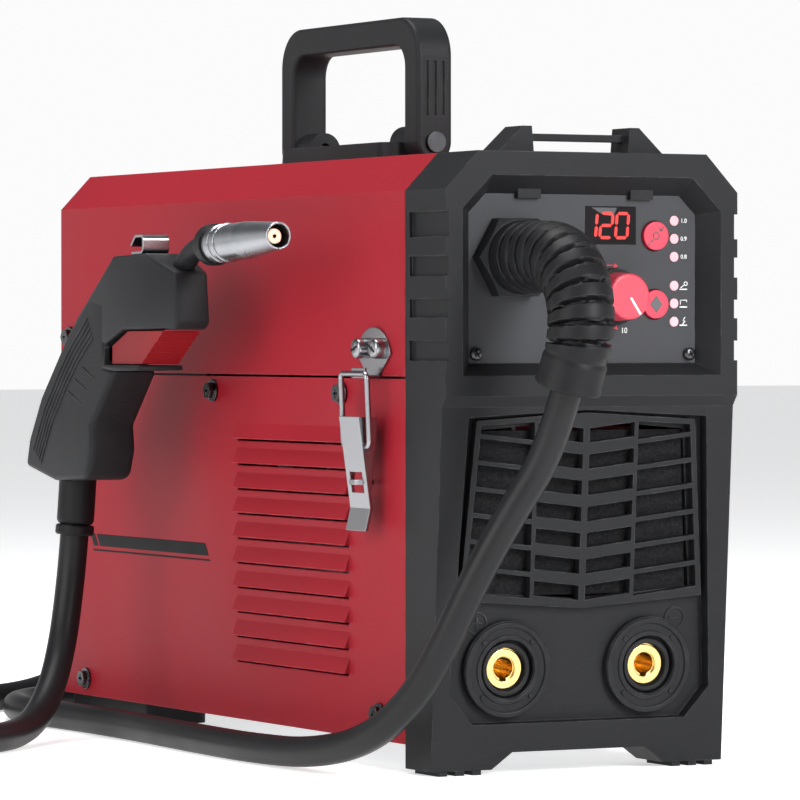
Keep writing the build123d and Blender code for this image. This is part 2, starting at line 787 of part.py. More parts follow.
def latch_lever(side):
    """Channel lever with a rounded thumb tab, a slot for the staple and its pivot pin."""
    spine = [(11.4, 148.6), (12.8, 148.6), (7.4, 110), (9.6, 100.5), (8.2, 100.5), (6, 110)]
    cheek = [(12, 148.4), (12, 144), (8.2, 116), (6.8, 116), (4.2, 140), (4.2, 148.4)]
    with BuildPart() as lever:
        add(latch_slab(side, spine, -9, 9))
        for low in (-9.0, 7.6):
            add(latch_slab(side, cheek, low, low + 1.4))
        with BuildSketch(Plane.XY.offset(116.6)):
            with Locations((side * (HALF_W + 8), LATCH_Y)):
                Rectangle(12, 11.6)
        extrude(amount=8.6, mode=Mode.SUBTRACT)
        with BuildSketch(latch_section(side, LATCH_Y + side * 9)):
            with Locations(LEVER_PIVOT):
                Circle(1.5 - RUNNING)
        extrude(amount=18)
        with BuildSketch(latch_section(side, LATCH_Y + side * 9)):
            with Locations(BAIL_PIVOT):
                Circle(1.2 + RUNNING)
        extrude(amount=18, mode=Mode.SUBTRACT)
    return lever


def latch_bail(side):
    """Wire loop that hooks under the catch, with its ends turned into the lever."""
    half = 12.0
    wire = 1.2

    def at(place, across):
        return (side * (HALF_W + place[0]), LATCH_Y + across, place[1])

    with BuildPart() as bail:
        with BuildLine() as route:
            FilletPolyline(
                at(BAIL_PIVOT, -7.6),
                at(BAIL_PIVOT, -half),
                at(BAIL_TOP, -half),
                at(BAIL_TOP, half),
                at(BAIL_PIVOT, half),
                at(BAIL_PIVOT, 7.6),
                radius=2.4,
            )
        with BuildSketch(Plane(origin=route.line @ 0, z_dir=route.line % 0)):
            Circle(wire)
        sweep()
    return bail


def latch_catches():
    """Teardrop plates on the cover, each ending in an upturned hook."""
    with BuildPart() as catches:
        for side in (-1, 1):
            with BuildSketch(outward(side)):
                with BuildLine():
                    left = Line((side * LATCH_Y - 5, 165.8), (side * LATCH_Y - 15.5, 175))
                    right = Line((side * LATCH_Y + 5, 165.8), (side * LATCH_Y + 15.5, 175))
                    ThreePointArc(left @ 1, (side * LATCH_Y, 186.2), right @ 1)
                    Line(left @ 0, right @ 0)
                make_face()
            extrude(amount=1.2)
            hook = [(0, 165.8), (0, 164.7), (8.4, 164.7), (8.4, 169), (7.3, 169), (7.3, 165.8)]
            add(latch_slab(side, hook, -6, 6))
    return catches


def handle_base():
    """Block on the cover with a barrel at each end for the handle's pins."""
    low, high = HANDLE_Y0 + LEG_T + 0.4, HANDLE_Y1 - LEG_T - 0.4
    with BuildPart() as base:
        with BuildSketch(Plane.XY.offset(TOP_Z)):
            with Locations((0, (low + high) / 2)):
                RectangleRounded(36, high - low, 8)
        extrude(amount=HANDLE_AXIS_Z - TOP_Z + 0.3, taper=3)
        for start in (low, high - 14.7):
            with BuildSketch(Plane.XZ.offset(-start - 14.7)):
                with Locations((0, HANDLE_AXIS_Z)):
                    Circle(7.8)
            extrude(amount=14.7)
        with BuildSketch(Plane.XZ.offset(-high)):
            with Locations((0, HANDLE_AXIS_Z)):
                Circle(3)
        extrude(amount=high - low, mode=Mode.SUBTRACT)
        cap = Box(50, 200, 10, align=(Align.CENTER, Align.CENTER, Align.MAX), mode=Mode.PRIVATE)
        add(Pos(0, 0, TOP_Z) * cap, mode=Mode.SUBTRACT)
    return base


def carry_handle():
    """Strap handle with grooved ends, a fuller grip and round eyes."""
    with BuildPart() as handle:
        with BuildSketch(Plane.YZ.offset(-LEG_HALF)):
            with BuildLine():
                FilletPolyline(
                    (HANDLE_Y0, HANDLE_AXIS_Z - LEG_HALF),
                    (HANDLE_Y0, HANDLE_TOP_Z),
                    (HANDLE_Y1, HANDLE_TOP_Z),
                    (HANDLE_Y1, HANDLE_AXIS_Z - LEG_HALF),
                    radius=18,
                )
                Line((HANDLE_Y0, HANDLE_AXIS_Z - LEG_HALF), (HANDLE_Y1, HANDLE_AXIS_Z - LEG_HALF))
            make_face()
            with BuildLine():
                low, high = HANDLE_Y0 + LEG_T, HANDLE_Y1 - LEG_T
                FilletPolyline(
                    (low, HANDLE_AXIS_Z - LEG_HALF),
                    (low, HANDLE_TOP_Z - GRIP_T),
                    (high, HANDLE_TOP_Z - GRIP_T),
                    (high, HANDLE_AXIS_Z - LEG_HALF),
                    radius=10,
                )
                Line((low, HANDLE_AXIS_Z - LEG_HALF), (high, HANDLE_AXIS_Z - LEG_HALF))
            make_face(mode=Mode.SUBTRACT)
        extrude(amount=2 * LEG_HALF)
        with BuildSketch(Plane.XZ.offset(-HANDLE_Y1)):
            with Locations((0, HANDLE_AXIS_Z)):
                SlotCenterToCenter(200, 2 * LEG_HALF, rotation=90)
            with Locations((0, HANDLE_AXIS_Z)):
                Rectangle(30, 120, align=(Align.CENTER, Align.MAX), mode=Mode.SUBTRACT)
                Circle(LEG_HALF)
        extrude(amount=HANDLE_Y1 - HANDLE_Y0, mode=Mode.INTERSECT)
        long_edges = handle.faces().filter_by(Axis.X).edges().filter_by(lambda e: e.center().Z > 285)
        fillet(long_edges, 2)
        for y in (HANDLE_Y0, HANDLE_Y1):
            with BuildSketch(Plane.XZ.offset(-y)):
                with Locations(*[(x, 292) for x in (-4, 0, 4)]):
                    Rectangle(1.4, 24)
            extrude(amount=0.8, both=True, mode=Mode.SUBTRACT)
        with BuildSketch(Plane.XZ.offset(-HANDLE_Y1)):
            with Locations((0, HANDLE_AXIS_Z)):
                Circle(3 + RUNNING)
        extrude(amount=HANDLE_Y1 - HANDLE_Y0, mode=Mode.SUBTRACT)
    return handle


def handle_pins():
    """Headed pins that the handle turns on, pressed into the base."""
    with BuildPart() as pins:
        for y, way in ((HANDLE_Y0, -1), (HANDLE_Y1, 1)):
            head = Plane(origin=(0, y, HANDLE_AXIS_Z), x_dir=(1, 0, 0), z_dir=(0, way, 0))
            with BuildSketch(head.offset(0.4)):
                Circle(4.6)
            extrude(amount=1.4)
            with BuildSketch(head.offset(0.4)):
                Circle(3)
            extrude(amount=-LEG_T - 12)
    return pins


def equipment_shelf():
    """Steel shelf between the wire compartment and the power parts."""
    with BuildPart() as shelf:
        with BuildSketch(Plane.XY.offset(SHELF_Z - SHEET)):
            with Locations((0, 0)):
                Rectangle(2 * (HALF_W - 2 * SHEET - 0.5), 316)
        extrude(amount=SHEET)
    return shelf


def feeder_plate():
    """Upright plate that carries the wire drive and the spool."""
    with BuildPart() as plate:
        with BuildSketch(Plane.YZ.offset(PLATE_X)):
            Polygon((-150, SHELF_Z), (156, SHELF_Z), (156, 236), (140, 250), (-150, 250), align=None)
            with Locations((FEED_Y, FEED_Z - DRIVE_ROLL_R - 0.4)):
                Circle(5, mode=Mode.SUBTRACT)
        extrude(amount=2)
        with BuildSketch(Plane.XY.offset(SHELF_Z)):
            with Locations((PLATE_X, 0)):
                Rectangle(16, 290, align=(Align.MIN, Align.CENTER))
        extrude(amount=2)
        with BuildSketch(Plane.YZ.offset(PLATE_X)):
            with Locations(ARM_PIVOT):
                Circle(AXLE_R)
        extrude(amount=-16)
    return plate


def feed_motor():
    """Gearbox with its bearing bore, and the round motor behind it."""
    with BuildPart() as motor:
        with BuildSketch(Plane.YZ.offset(PLATE_X + 2)):
            with Locations((FEED_Y, DRIVE_Z)):
                RectangleRounded(42, 42, 4)
        extrude(amount=16)
        with BuildSketch(Plane.YZ.offset(PLATE_X + 18)):
            with Locations((FEED_Y, DRIVE_Z)):
                Circle(17)
        extrude(amount=44)
        with BuildSketch(Plane.YZ.offset(PLATE_X + 2)):
            with Locations((FEED_Y, DRIVE_Z)):
                Circle(4 + RUNNING)
        extrude(amount=15, mode=Mode.SUBTRACT)
    return motor


def drive_roll():
    """Grooved feed roll on the gearbox shaft."""
    with BuildPart() as roll:
        with BuildSketch(Plane.YZ.offset(FEED_X - 4)):
            with Locations((FEED_Y, DRIVE_Z)):
                Circle(DRIVE_ROLL_R)
        extrude(amount=8)
        with BuildSketch(Plane.YZ.offset(FEED_X - 0.6)):
            with Locations((FEED_Y, DRIVE_Z)):
                Circle(DRIVE_ROLL_R + 1)
                Circle(DRIVE_ROLL_R - 0.8, mode=Mode.SUBTRACT)
        extrude(amount=1.2, mode=Mode.SUBTRACT)
        with BuildSketch(Plane.YZ.offset(FEED_X)):
            with Locations((FEED_Y, DRIVE_Z)):
                Circle(4)
        extrude(amount=PLATE_X + 16 - FEED_X)
    return roll


def pressure_arm():
    """Swinging arm with the axle of the pressure roll."""
    with BuildPart() as arm:
        with BuildSketch(Plane.YZ.offset(FEED_X + 5)):
            Polygon(
                (ARM_PIVOT[0], 224.5),
                (ARM_PIVOT[0], 235.5),
                (ARM_NOSE[0], 231),
                (ARM_NOSE[0], 221),
                align=None,
            )
            with Locations(ARM_PIVOT, ARM_NOSE):
                Circle(5.5)
        extrude(amount=6)
        with BuildSketch(Plane.YZ.offset(FEED_X + 5)):
            with Locations((FEED_Y, PRESSURE_Z)):
                Circle(AXLE_R)
        extrude(amount=-9)
        with BuildSketch(Plane.YZ.offset(FEED_X)):
            with Locations(ARM_PIVOT):
                Circle(AXLE_R + RUNNING)
        extrude(amount=20, mode=Mode.SUBTRACT)
        with BuildSketch(Plane.XY.offset(215)):
            with Locations((FEED_X + 8, ARM_NOSE[0])):
                Circle(SCREW_R + RUNNING)
        extrude(amount=20, mode=Mode.SUBTRACT)
    return arm


def pressure_roll():
    """Plain roll that presses the wire into the drive roll's groove."""
    with BuildPart() as roll:
        with BuildSketch(Plane.YZ.offset(FEED_X - 3)):
            with Locations((FEED_Y, PRESSURE_Z)):
                Circle(PRESSURE_ROLL_R)
                Circle(AXLE_R + RUNNING, mode=Mode.SUBTRACT)
        extrude(amount=6)
    return roll


def tension_knob():
    """Fluted knob and screw that set the arm's pressure."""
    with BuildPart() as knob:
        with BuildSketch(Plane.XY.offset(232.4)):
            with Locations((FEED_X + 8, ARM_NOSE[0])):
                Circle(7)
                with PolarLocations(7.4, 10):
                    Circle(1.1, mode=Mode.SUBTRACT)
        extrude(amount=7)
        with BuildSketch(Plane.XY.offset(232.4)):
            with Locations((FEED_X + 8, ARM_NOSE[0])):
                Circle(SCREW_R)
        extrude(amount=-16)
    return knob


def spool_spindle():
    """Spindle with its flange on the feeder plate and a round retaining nut."""
    with BuildPart() as spindle:
        with BuildSketch(Plane.YZ.offset(PLATE_X)):
            with Locations((SPOOL_Y, SPOOL_Z)):
                Circle(14)
        extrude(amount=-3)
        with BuildSketch(Plane.YZ.offset(PLATE_X)):
            with Locations((SPOOL_Y, SPOOL_Z)):
                Circle(SPINDLE_R)
        extrude(amount=-3.6 - SPOOL_W - 0.6)
        with BuildSketch(Plane.YZ.offset(PLATE_X - 3.6 - SPOOL_W - 0.6)):
            with Locations((SPOOL_Y, SPOOL_Z)):
                Circle(13)
        extrude(amount=-4)
    return spindle


def wire_spool():
    """Flanged spool with its wound welding wire."""
    with BuildPart() as spool:
        with BuildSketch(Plane.YZ.offset(PLATE_X - 3.6)):
            with Locations((SPOOL_Y, SPOOL_Z)):
                Circle(38)
        extrude(amount=-SPOOL_W)
        for x in (PLATE_X - 3.6, PLATE_X - 1.6 - SPOOL_W):
            with BuildSketch(Plane.YZ.offset(x)):
                with Locations((SPOOL_Y, SPOOL_Z)):
                    Circle(SPOOL_R)
            extrude(amount=-2)
        with BuildSketch(Plane.YZ.offset(PLATE_X - 3.6)):
            with Locations((SPOOL_Y, SPOOL_Z)):
                Circle(SPINDLE_R + 0.08)
        extrude(amount=-SPOOL_W, mode=Mode.SUBTRACT)
    return spool


def circuit_board():
    """Main board of the inverter on four pillars, with its capacitors soldered on."""
    with BuildPart() as board:
        with BuildSketch(Plane.XY.offset(BOARD_Z)):
            Rectangle(118, 256)
        extrude(amount=BOARD_T)
        with BuildSketch(Plane.XY.offset(PANEL_Z0 + SHEET)):
            with GridLocations(104, 240, 2, 2):
                Circle(3.5)
        extrude(amount=BOARD_Z - PANEL_Z0 - SHEET)
        with BuildSketch(Plane.XY.offset(BOARD_Z + BOARD_T)):
            with Locations((-38, -96), (0, -96), (38, -96)):
                Circle(15)
        extrude(amount=48)
    return board


def heatsinks():
    """Two finned aluminium heatsinks that stand on the board."""
    with BuildPart() as sinks:
        with BuildSketch(Plane.XZ.offset(70)):
            for side in (-1, 1):
                with Locations((side * 14, 70)):
                    Rectangle(4, 88)
                for level in range(9):
                    with Locations((side * 32, 30 + level * 10)):
                        Rectangle(36, 1.8)
        extrude(amount=-110)
    return sinks


def transformer():
    """Ferrite core with its winding."""
    with BuildPart() as core:
        with BuildSketch(Plane.XY.offset(BOARD_Z + BOARD_T)):
            with Locations((0, 82)):
                Rectangle(62, 30)
        extrude(amount=58)
        with BuildSketch(Plane.XY.offset(BOARD_Z + BOARD_T + 12)):
            with Locations((0, 82)):
                RectangleRounded(44, 54, 8)
        extrude(amount=34)
    return core


def fan_frame():
    """Square fan frame with a bearing hub on four struts."""
    with BuildPart() as frame:
        with BuildSketch(Plane.XZ.offset(-186)):
            with Locations(FAN):
                RectangleRounded(FAN_SIZE, FAN_SIZE, 4)
                Circle(38.3, mode=Mode.SUBTRACT)
        extrude(amount=25)
        with BuildSketch(Plane.XZ.offset(-164)):
            with Locations(FAN):
                Circle(17)
                Rectangle(78, 4)
                Rectangle(4, 78)
                Circle(2 + RUNNING, mode=Mode.SUBTRACT)
        extrude(amount=3)
    return frame


def fan_rotor():
    """Hub, shaft and seven pitched blades."""
    with BuildPart() as rotor:
        with BuildSketch(Plane.XZ.offset(-181)):
            with Locations(FAN):
                Circle(17)
        extrude(amount=16.4)
        with BuildSketch(Plane.XZ.offset(-181)):
            with Locations(FAN):
                Circle(2)
        extrude(amount=20)
        blade = Box(21, 15, 1.6, align=(Align.MIN, Align.CENTER, Align.CENTER), mode=Mode.PRIVATE)
        for number in range(7):
            turn = Rot(0, 360 / 7 * number, 0) * Pos(15.5, 0, 0) * Rot(38, 0, 0)
            add(Pos(FAN[0], 173, FAN[1]) * turn * blade)
    return rotor


def switch_housing():
    """Rocker switch body with its flange."""
    with BuildPart() as housing:
        with BuildSketch(Plane.XZ.offset(-REAR_PANEL_Y)):
            with Locations(SWITCH):
                RectangleRounded(24, 32, 1.5)
        extrude(amount=-1.5)
        with BuildSketch(Plane.XZ.offset(-REAR_PANEL_Y)):
            with Locations(SWITCH):
                Rectangle(20, 28)
        extrude(amount=18)
        with BuildSketch(Plane.XZ.offset(-REAR_PANEL_Y - 1.5)):
            with Locations(SWITCH):
                Rectangle(14, 25)
        extrude(amount=15, mode=Mode.SUBTRACT)
        with BuildSketch(Plane.YZ.offset(SWITCH[0] - 9)):
            with Locations((REAR_PANEL_Y - 4, SWITCH[1])):
                Circle(1.5 + RUNNING)
        extrude(amount=18, mode=Mode.SUBTRACT)
    return housing


def power_rocker():
    """Rocker, shown off, on its cross pin."""
    y, z = REAR_PANEL_Y - 4, SWITCH[1]
    with BuildPart() as rocker:
        with BuildSketch(Plane.YZ.offset(SWITCH[0] - 6.6)):
            outline = [(-5, -9), (4.4, -11.4), (5.6, 0), (8.4, 11), (-1, 10)]
            Polygon(*[(y + dy, z + dz) for dy, dz in outline], align=None)
        extrude(amount=13.2)
        with BuildSketch(Plane.YZ.offset(SWITCH[0] - 8.6)):
            with Locations((y, z)):
                Circle(1.5)
        extrude(amount=17.2)
    return rocker


def mains_gland():
    """Cable gland of the mains inlet: barrel, nut and dome with an open bore."""
    with BuildPart() as gland:
        with BuildSketch(Plane.XZ.offset(-REAR_PANEL_Y)):
            with Locations(MAINS_GLAND):
                RegularPolygon(10, 6, major_radius=False)
        extrude(amount=-6)
        with BuildSketch(Plane.XZ.offset(-REAR_PANEL_Y - 6)):
            with Locations(MAINS_GLAND):
                Circle(9)
        extrude(amount=-12, taper=8)
        with BuildSketch(Plane.XZ.offset(-REAR_PANEL_Y)):
            with Locations(MAINS_GLAND):
                Circle(8)
        extrude(amount=14)
        with BuildSketch(Plane.XZ.offset(-186)):
            with Locations(MAINS_GLAND):
                RegularPolygon(10.5, 6, major_radius=False)
        extrude(amount=4)
        with BuildSketch(Plane.XZ.offset(-REAR_PANEL_Y + 14)):
            with Locations(MAINS_GLAND):
                Circle(4.5)
        extrude(amount=-32, mode=Mode.SUBTRACT)
    return gland


torch_plane = Plane.YZ.offset(TORCH_X)


def torch_handle():
    """Pistol grip with a block head and a hooked guard under the trigger."""
    outline = [
        (46.3, 119.7),
        (51.1, 117.8),
        (84.7, 116.5),
        (116.8, 122.6),
        (113.0, 135.2),
        (99.4, 154.7),
        (68.9, 183.6),
        (25.1, 213.6),
        (19.1, 217.9),
        (-14.8, 218.6),
        (-39.6, 210.1),
        (-42.3, 188.0),
        (-38.7, 185.2),
        (9.0, 185.2),
        (28.0, 178.5),
        (28.0, 169.6),
        (-7.5, 169.6),
        (-8.2, 167.3),
        (18.0, 166.9),
        (43.0, 142.0),
        (41.6, 131.1),
    ]
    with BuildPart() as handle:
        with BuildSketch(torch_plane):
            Polygon(*outline, align=None)
        extrude(amount=TORCH_HALF, both=True)
        rims = handle.faces().filter_by(Axis.X).edges()
        spine = rims.filter_by(lambda e: e.length > 20 and e.center().Y + e.center().Z > 240)
        chamfer(spine, 3)
        with BuildSketch(Plane.XZ.offset(-26)):
            with Locations((TORCH_X, TRIGGER_STEM)):
                Circle(2.3)
        extrude(amount=-16, mode=Mode.SUBTRACT)
    return handle


def torch_trigger():
    """Ribbed trigger that slides back on a stem."""
    with BuildPart() as trigger:
        with BuildSketch(torch_plane):
            ribs = [(-30 + 23 * k / 6, 184.7 - 14.5 * k / 6) for k in range(7)]
            front = []
            for (y0, z0), (y1, z1) in zip(ribs, ribs[1:]):
                front += [(y0, z0), (y1 - 1.2, z1 + 0.2)]
            Polygon((23.5, 170.1), (23.5, 178), (6.5, 184.6), *front, (-7, 170.1), align=None)
        extrude(amount=9, both=True)
        with BuildSketch(Plane.XZ.offset(-20)):
            with Locations((TORCH_X, TRIGGER_STEM)):
                Circle(2)
        extrude(amount=-16)
    return trigger


def torch_neck():
    """Insulated swan neck that ends in a thicker collar."""
    with BuildPart() as neck:
        with BuildLine() as route:
            FilletPolyline((TORCH_X, -18, 203.6), (TORCH_X, -44, 220.8), NOZZLE_BACK, radius=34)
        with BuildSketch(Plane(origin=route.line @ 0, z_dir=route.line % 0)):
            Circle(4.6)
        sweep()
        with BuildSketch(Plane(origin=NOZZLE_BACK - NOZZLE_AIM * 5, x_dir=(1, 0, 0), z_dir=NOZZLE_AIM)):
            Circle(9)
        extrude(amount=5)
        with BuildSketch(Plane(origin=NOZZLE_BACK, x_dir=(1, 0, 0), z_dir=NOZZLE_AIM)):
            Circle(6)
        extrude(amount=12)
    return neck


def torch_nozzle():
    """Steel nozzle: a tube that tapers to its open mouth."""
    with BuildPart() as nozzle:
        with BuildSketch(Plane(origin=NOZZLE_BACK, x_dir=(1, 0, 0), z_dir=NOZZLE_AIM)):
            Circle(8)
        extrude(amount=30)
        with BuildSketch(Plane(origin=NOZZLE_BACK + NOZZLE_AIM * 30, x_dir=(1, 0, 0), z_dir=NOZZLE_AIM)):
            Circle(8)
        extrude(amount=30, taper=4.2)
        with BuildSketch(Plane(origin=NOZZLE_BACK, x_dir=(1, 0, 0), z_dir=NOZZLE_AIM)):
            Circle(6)
        extrude(amount=12, mode=Mode.SUBTRACT)
        with BuildSketch(Plane(origin=NOZZLE_BACK + NOZZLE_AIM * 12, x_dir=(1, 0, 0), z_dir=NOZZLE_AIM)):
            Circle(5)
        extrude(amount=50, mode=Mode.SUBTRACT)
    return nozzle


def contact_tip():
    """Copper contact tip inside the nozzle."""
    start = NOZZLE_BACK + NOZZLE_AIM * 12
    with BuildPart() as tip:
        with BuildSketch(Plane(origin=start, x_dir=(1, 0, 0), z_dir=NOZZLE_AIM)):
            Circle(3.2)
        extrude(amount=44)
        with BuildSketch(Plane(origin=start + NOZZLE_AIM * 44, x_dir=(1, 0, 0), z_dir=NOZZLE_AIM)):
            Circle(0.8)
        extrude(amount=-20, mode=Mode.SUBTRACT)
    return tip


def torch_hook():
    """Sprung strip on the head, curled back so that the torch can hang."""
    with BuildPart() as hook:
        with BuildSketch(torch_plane):
            with BuildLine():
                FilletPolyline((9, 219.1), (-3, 219.3), (-3, 226.6), (5, 226.6), (9.5, 222.4), radius=2)
            trace(line_width=1.2)
        extrude(amount=6.3, both=True)
    return hook


def turn_radii(route):
    """Radius of the arc at each corner of a route: 0.45 of the shorter run over tan of half the turn."""
    radii = []
    points = [Vector(*place) for place in route]
    for before, here, after in zip(points, points[1:], points[2:]):
        into, out = here - before, after - here
        half_turn = math.radians(into.get_angle(out)) / 2
        radii.append(0.45 * min(into.length, out.length) / math.tan(half_turn))
    return radii


def cable_tube(route, name):
    """Round tube along a route of straight runs joined by tangent arcs."""
    radii = turn_radii(route)
    with BuildPart() as tube:
        with BuildLine() as path:
            FilletPolyline(*route, radius=radii)
        with BuildSketch(Plane(origin=path.line @ 0, z_dir=path.line % 0)):
            Circle(CABLE_R)
        sweep()
    length = sum(edge.length for edge in path.edges())
    share = tube.part.volume / (math.pi * CABLE_R**2 * length)
    print(name, "length", round(length), "volume share", round(share, 4), [round(r) for r in radii])
    return tube


def gun_cable_coil():
    """Outer shape of the spare cable, wound flat and laid behind the machine."""
    inner, outer = COIL_R - 2 * CABLE_R, COIL_R + 2 * CABLE_R
    with BuildPart() as coil:
        with BuildSketch(Plane.XZ.offset(-COIL_CENTRE[1])):
            profile = [
                (inner, 0),
                (outer, 0),
                (outer, 3 * CABLE_R),
                (outer - CABLE_R, 4 * CABLE_R),
                (inner + CABLE_R, 4 * CABLE_R),
                (inner, 3 * CABLE_R),
            ]
            Polygon(*[(COIL_CENTRE[0] + r, z) for r, z in profile], align=None)
        revolve(axis=Axis((COIL_CENTRE[0], COIL_CENTRE[1], 0), (0, 0, 1)))
    return coil


pieces = {
    "front_shell": front_shell(),
    "control_panel": control_panel(),
    "display_window": display_window(),
    "indicator_lenses": indicator_lenses(),
    "wire_button": push_button(WIRE_BUTTON),
    "mode_button": push_button(MODE_BUTTON),
    "knob_skirt": knob_skirt(),
    "knob_cap": knob_cap(),
    "front_grille": front_grille(),
    "socket_bodies": socket_bodies(),
    "socket_contacts": socket_contacts(),
    "outlet_gland": outlet_gland(),
    "outlet_nut": outlet_nut(),
    "strain_relief_boot": strain_relief_boot(),
    "left_side_panel": side_panel(-1),
    "right_side_panel": side_panel(1),
    "base_tray": base_tray(),
    "rear_feet": rear_feet(),
    "rear_panel": rear_panel(),
    "top_cover": top_cover(),
    "hinge_leaves_fixed": hinge_leaves_fixed(),
    "hinge_leaves_moving": hinge_leaves_moving(),
    "hinge_pins": hinge_pins(),
    "case_screws": case_screws(),
    "cover_screws": cover_screws(),
    "latch_bases": latch_bases(),
    "left_latch_lever": latch_lever(-1),
    "right_latch_lever": latch_lever(1),
    "left_latch_bail": latch_bail(-1),
    "right_latch_bail": latch_bail(1),
    "latch_catches": latch_catches(),
    "handle_base": handle_base(),
    "carry_handle": carry_handle(),
    "handle_pins": handle_pins(),
    "equipment_shelf": equipment_shelf(),
    "feeder_plate": feeder_plate(),
    "feed_motor": feed_motor(),
    "drive_roll": drive_roll(),
    "pressure_arm": pressure_arm(),
    "pressure_roll": pressure_roll(),
    "tension_knob": tension_knob(),
    "spool_spindle": spool_spindle(),
    "wire_spool": wire_spool(),
    "circuit_board": circuit_board(),
    "heatsinks": heatsinks(),
    "transformer": transformer(),
    "fan_frame": fan_frame(),
    "fan_rotor": fan_rotor(),
    "switch_housing": switch_housing(),
    "power_rocker": power_rocker(),
    "mains_gland": mains_gland(),
    "torch_handle": torch_handle(),
    "torch_trigger": torch_trigger(),
    "torch_neck": torch_neck(),
    "torch_nozzle": torch_nozzle(),
    "contact_tip": contact_tip(),
    "torch_hook": torch_hook(),
    "gun_cable_lead": cable_tube(LEAD_ROUTE, "gun_cable_lead"),
    "gun_cable_return": cable_tube(RETURN_ROUTE, "gun_cable_return"),
    "gun_cable_coil": gun_cable_coil(),
}
for name, piece in pieces.items():
    piece.part.label = name
    export_step(piece.part, f"parts/{name}.step")
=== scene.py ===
"""Looks of a compact wire-feed welding machine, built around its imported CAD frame.

Everything is in metres, in the CAD frame; helper functions take millimetres where they say so.
"""

import json
import math

import bmesh
import bpy
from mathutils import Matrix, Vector


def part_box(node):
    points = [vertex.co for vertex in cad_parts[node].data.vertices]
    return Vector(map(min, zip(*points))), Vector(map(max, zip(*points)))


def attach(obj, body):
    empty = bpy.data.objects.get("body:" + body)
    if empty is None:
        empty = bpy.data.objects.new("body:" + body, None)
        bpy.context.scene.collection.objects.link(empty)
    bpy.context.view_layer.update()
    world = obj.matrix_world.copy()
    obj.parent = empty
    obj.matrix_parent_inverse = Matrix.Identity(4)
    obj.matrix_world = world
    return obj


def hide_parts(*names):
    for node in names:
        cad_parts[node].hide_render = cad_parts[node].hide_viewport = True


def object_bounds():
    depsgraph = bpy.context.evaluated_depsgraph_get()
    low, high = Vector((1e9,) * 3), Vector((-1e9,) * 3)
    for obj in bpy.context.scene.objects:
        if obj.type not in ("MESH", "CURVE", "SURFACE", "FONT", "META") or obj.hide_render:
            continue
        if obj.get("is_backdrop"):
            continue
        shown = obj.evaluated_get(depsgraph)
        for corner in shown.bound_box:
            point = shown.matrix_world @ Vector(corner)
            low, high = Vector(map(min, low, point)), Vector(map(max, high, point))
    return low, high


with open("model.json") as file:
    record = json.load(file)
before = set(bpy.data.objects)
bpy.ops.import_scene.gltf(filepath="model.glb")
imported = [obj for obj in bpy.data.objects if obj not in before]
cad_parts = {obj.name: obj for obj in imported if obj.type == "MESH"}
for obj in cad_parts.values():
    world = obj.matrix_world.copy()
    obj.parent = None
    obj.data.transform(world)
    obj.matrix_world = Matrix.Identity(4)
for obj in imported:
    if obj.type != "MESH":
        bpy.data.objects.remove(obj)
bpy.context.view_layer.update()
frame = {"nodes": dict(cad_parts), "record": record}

MM = 0.001
scene = bpy.context.scene


def corners_of(node_name):
    """The low and high corner of a CAD node's box, in mm."""
    return [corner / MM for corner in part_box(node_name)]


def middle_of(node_name):
    low, high = corners_of(node_name)
    return (low + high) / 2


def front_middle(node_name):
    """Middle of a CAD node seen from the front, as (x, z) in mm."""
    middle = middle_of(node_name)
    return (middle.x, middle.z)


# ---------------------------------------------------------------- places on the machine, mm
PANEL_Y = corners_of("control_panel")[0].y  # front of the control panel
LEFT_X = corners_of("front_shell")[0].x  # left side of the case
DISPLAY = front_middle("display_window")
WIRE_BUTTON = front_middle("wire_button")
MODE_BUTTON = front_middle("mode_button")
BUTTON_FACE = corners_of("wire_button")[0].y
KNOB = front_middle("knob_cap")
KNOB_FRONT = corners_of("knob_cap")[0].y
OUTLET = front_middle("outlet_nut")
LAMP_X = middle_of("indicator_lenses").x
LAMP_Z = (231.1, 223.5, 215.9, 203.7, 196.2, 188.5)
SOCKET = (33.9, 43.6)  # distance from the middle, and height
LOWER_Y0, LOWER_Z0 = -182.6, 2.0  # lower face, at the feet
LOWER_Y1, LOWER_Z1 = -192.1, 153.0  # lower face, under the bezel
RECESS = 5.5  # depth of the recess in the lower face

# ---------------------------------------------------------------- torch cable, mm
CABLE_R = 6.5
LEAD_ROUTE = [  # from the boot to the coil
    (-40.5, -245.2, 161.6),
    (-43.8, -237, 136),
    (-58, -229, 110),
    (-70, -220, 83),
    (-79, -211, 56),
    (-86, -197, 33),
    (-94, -172, 15),
    (-101, -134, 7.5),
    (-104.5, -87, 6.5),
    (-104, -33, 6.5),
    (-101, 25, 6.5),
    (-100, 77, 6.5),
    (-102, 124, 6.5),
    (-105, 160, 6.5),
    (-98, 190, 6.5),
    (-78.5, 215, 6.5),
    (-50, 229, 6.5),
    (-17.5, 229.5, 6.5),
    (15, 221.6, 6.5),
]
RETURN_ROUTE = [  # from the coil to the torch
    (-20.5, 291, 16.5),
    (-42, 265, 11),
    (-68, 247, 7),
    (-104, 229, 6.5),
    (-146, 207, 6.5),
    (-190, 182, 6.5),
    (-238, 153, 6.5),
    (-284, 124, 6.5),
    (-304, 92, 6.5),
    (-307, 55, 6.5),
    (-292, 20, 6.5),
    (-262, -3, 6.5),
    (-225, -9, 6.5),
    (-189, 5, 6.5),
    (-157, 38, 6.5),
    (-136.5, 60, 18),
    (-122.5, 76, 40.5),
    (-115.5, 82.5, 69),
    (-113, 82.5, 95),
    (-112, 81, 121),
]
COIL_LOW, COIL_HIGH = corners_of("gun_cable_coil")
COIL_CENTRE = middle_of("gun_cable_coil")
COIL_OUTER = (COIL_HIGH.x - COIL_LOW.x) / 2 - CABLE_R  # middle of the outer turns
COIL_INNER = COIL_OUTER - 2 * CABLE_R
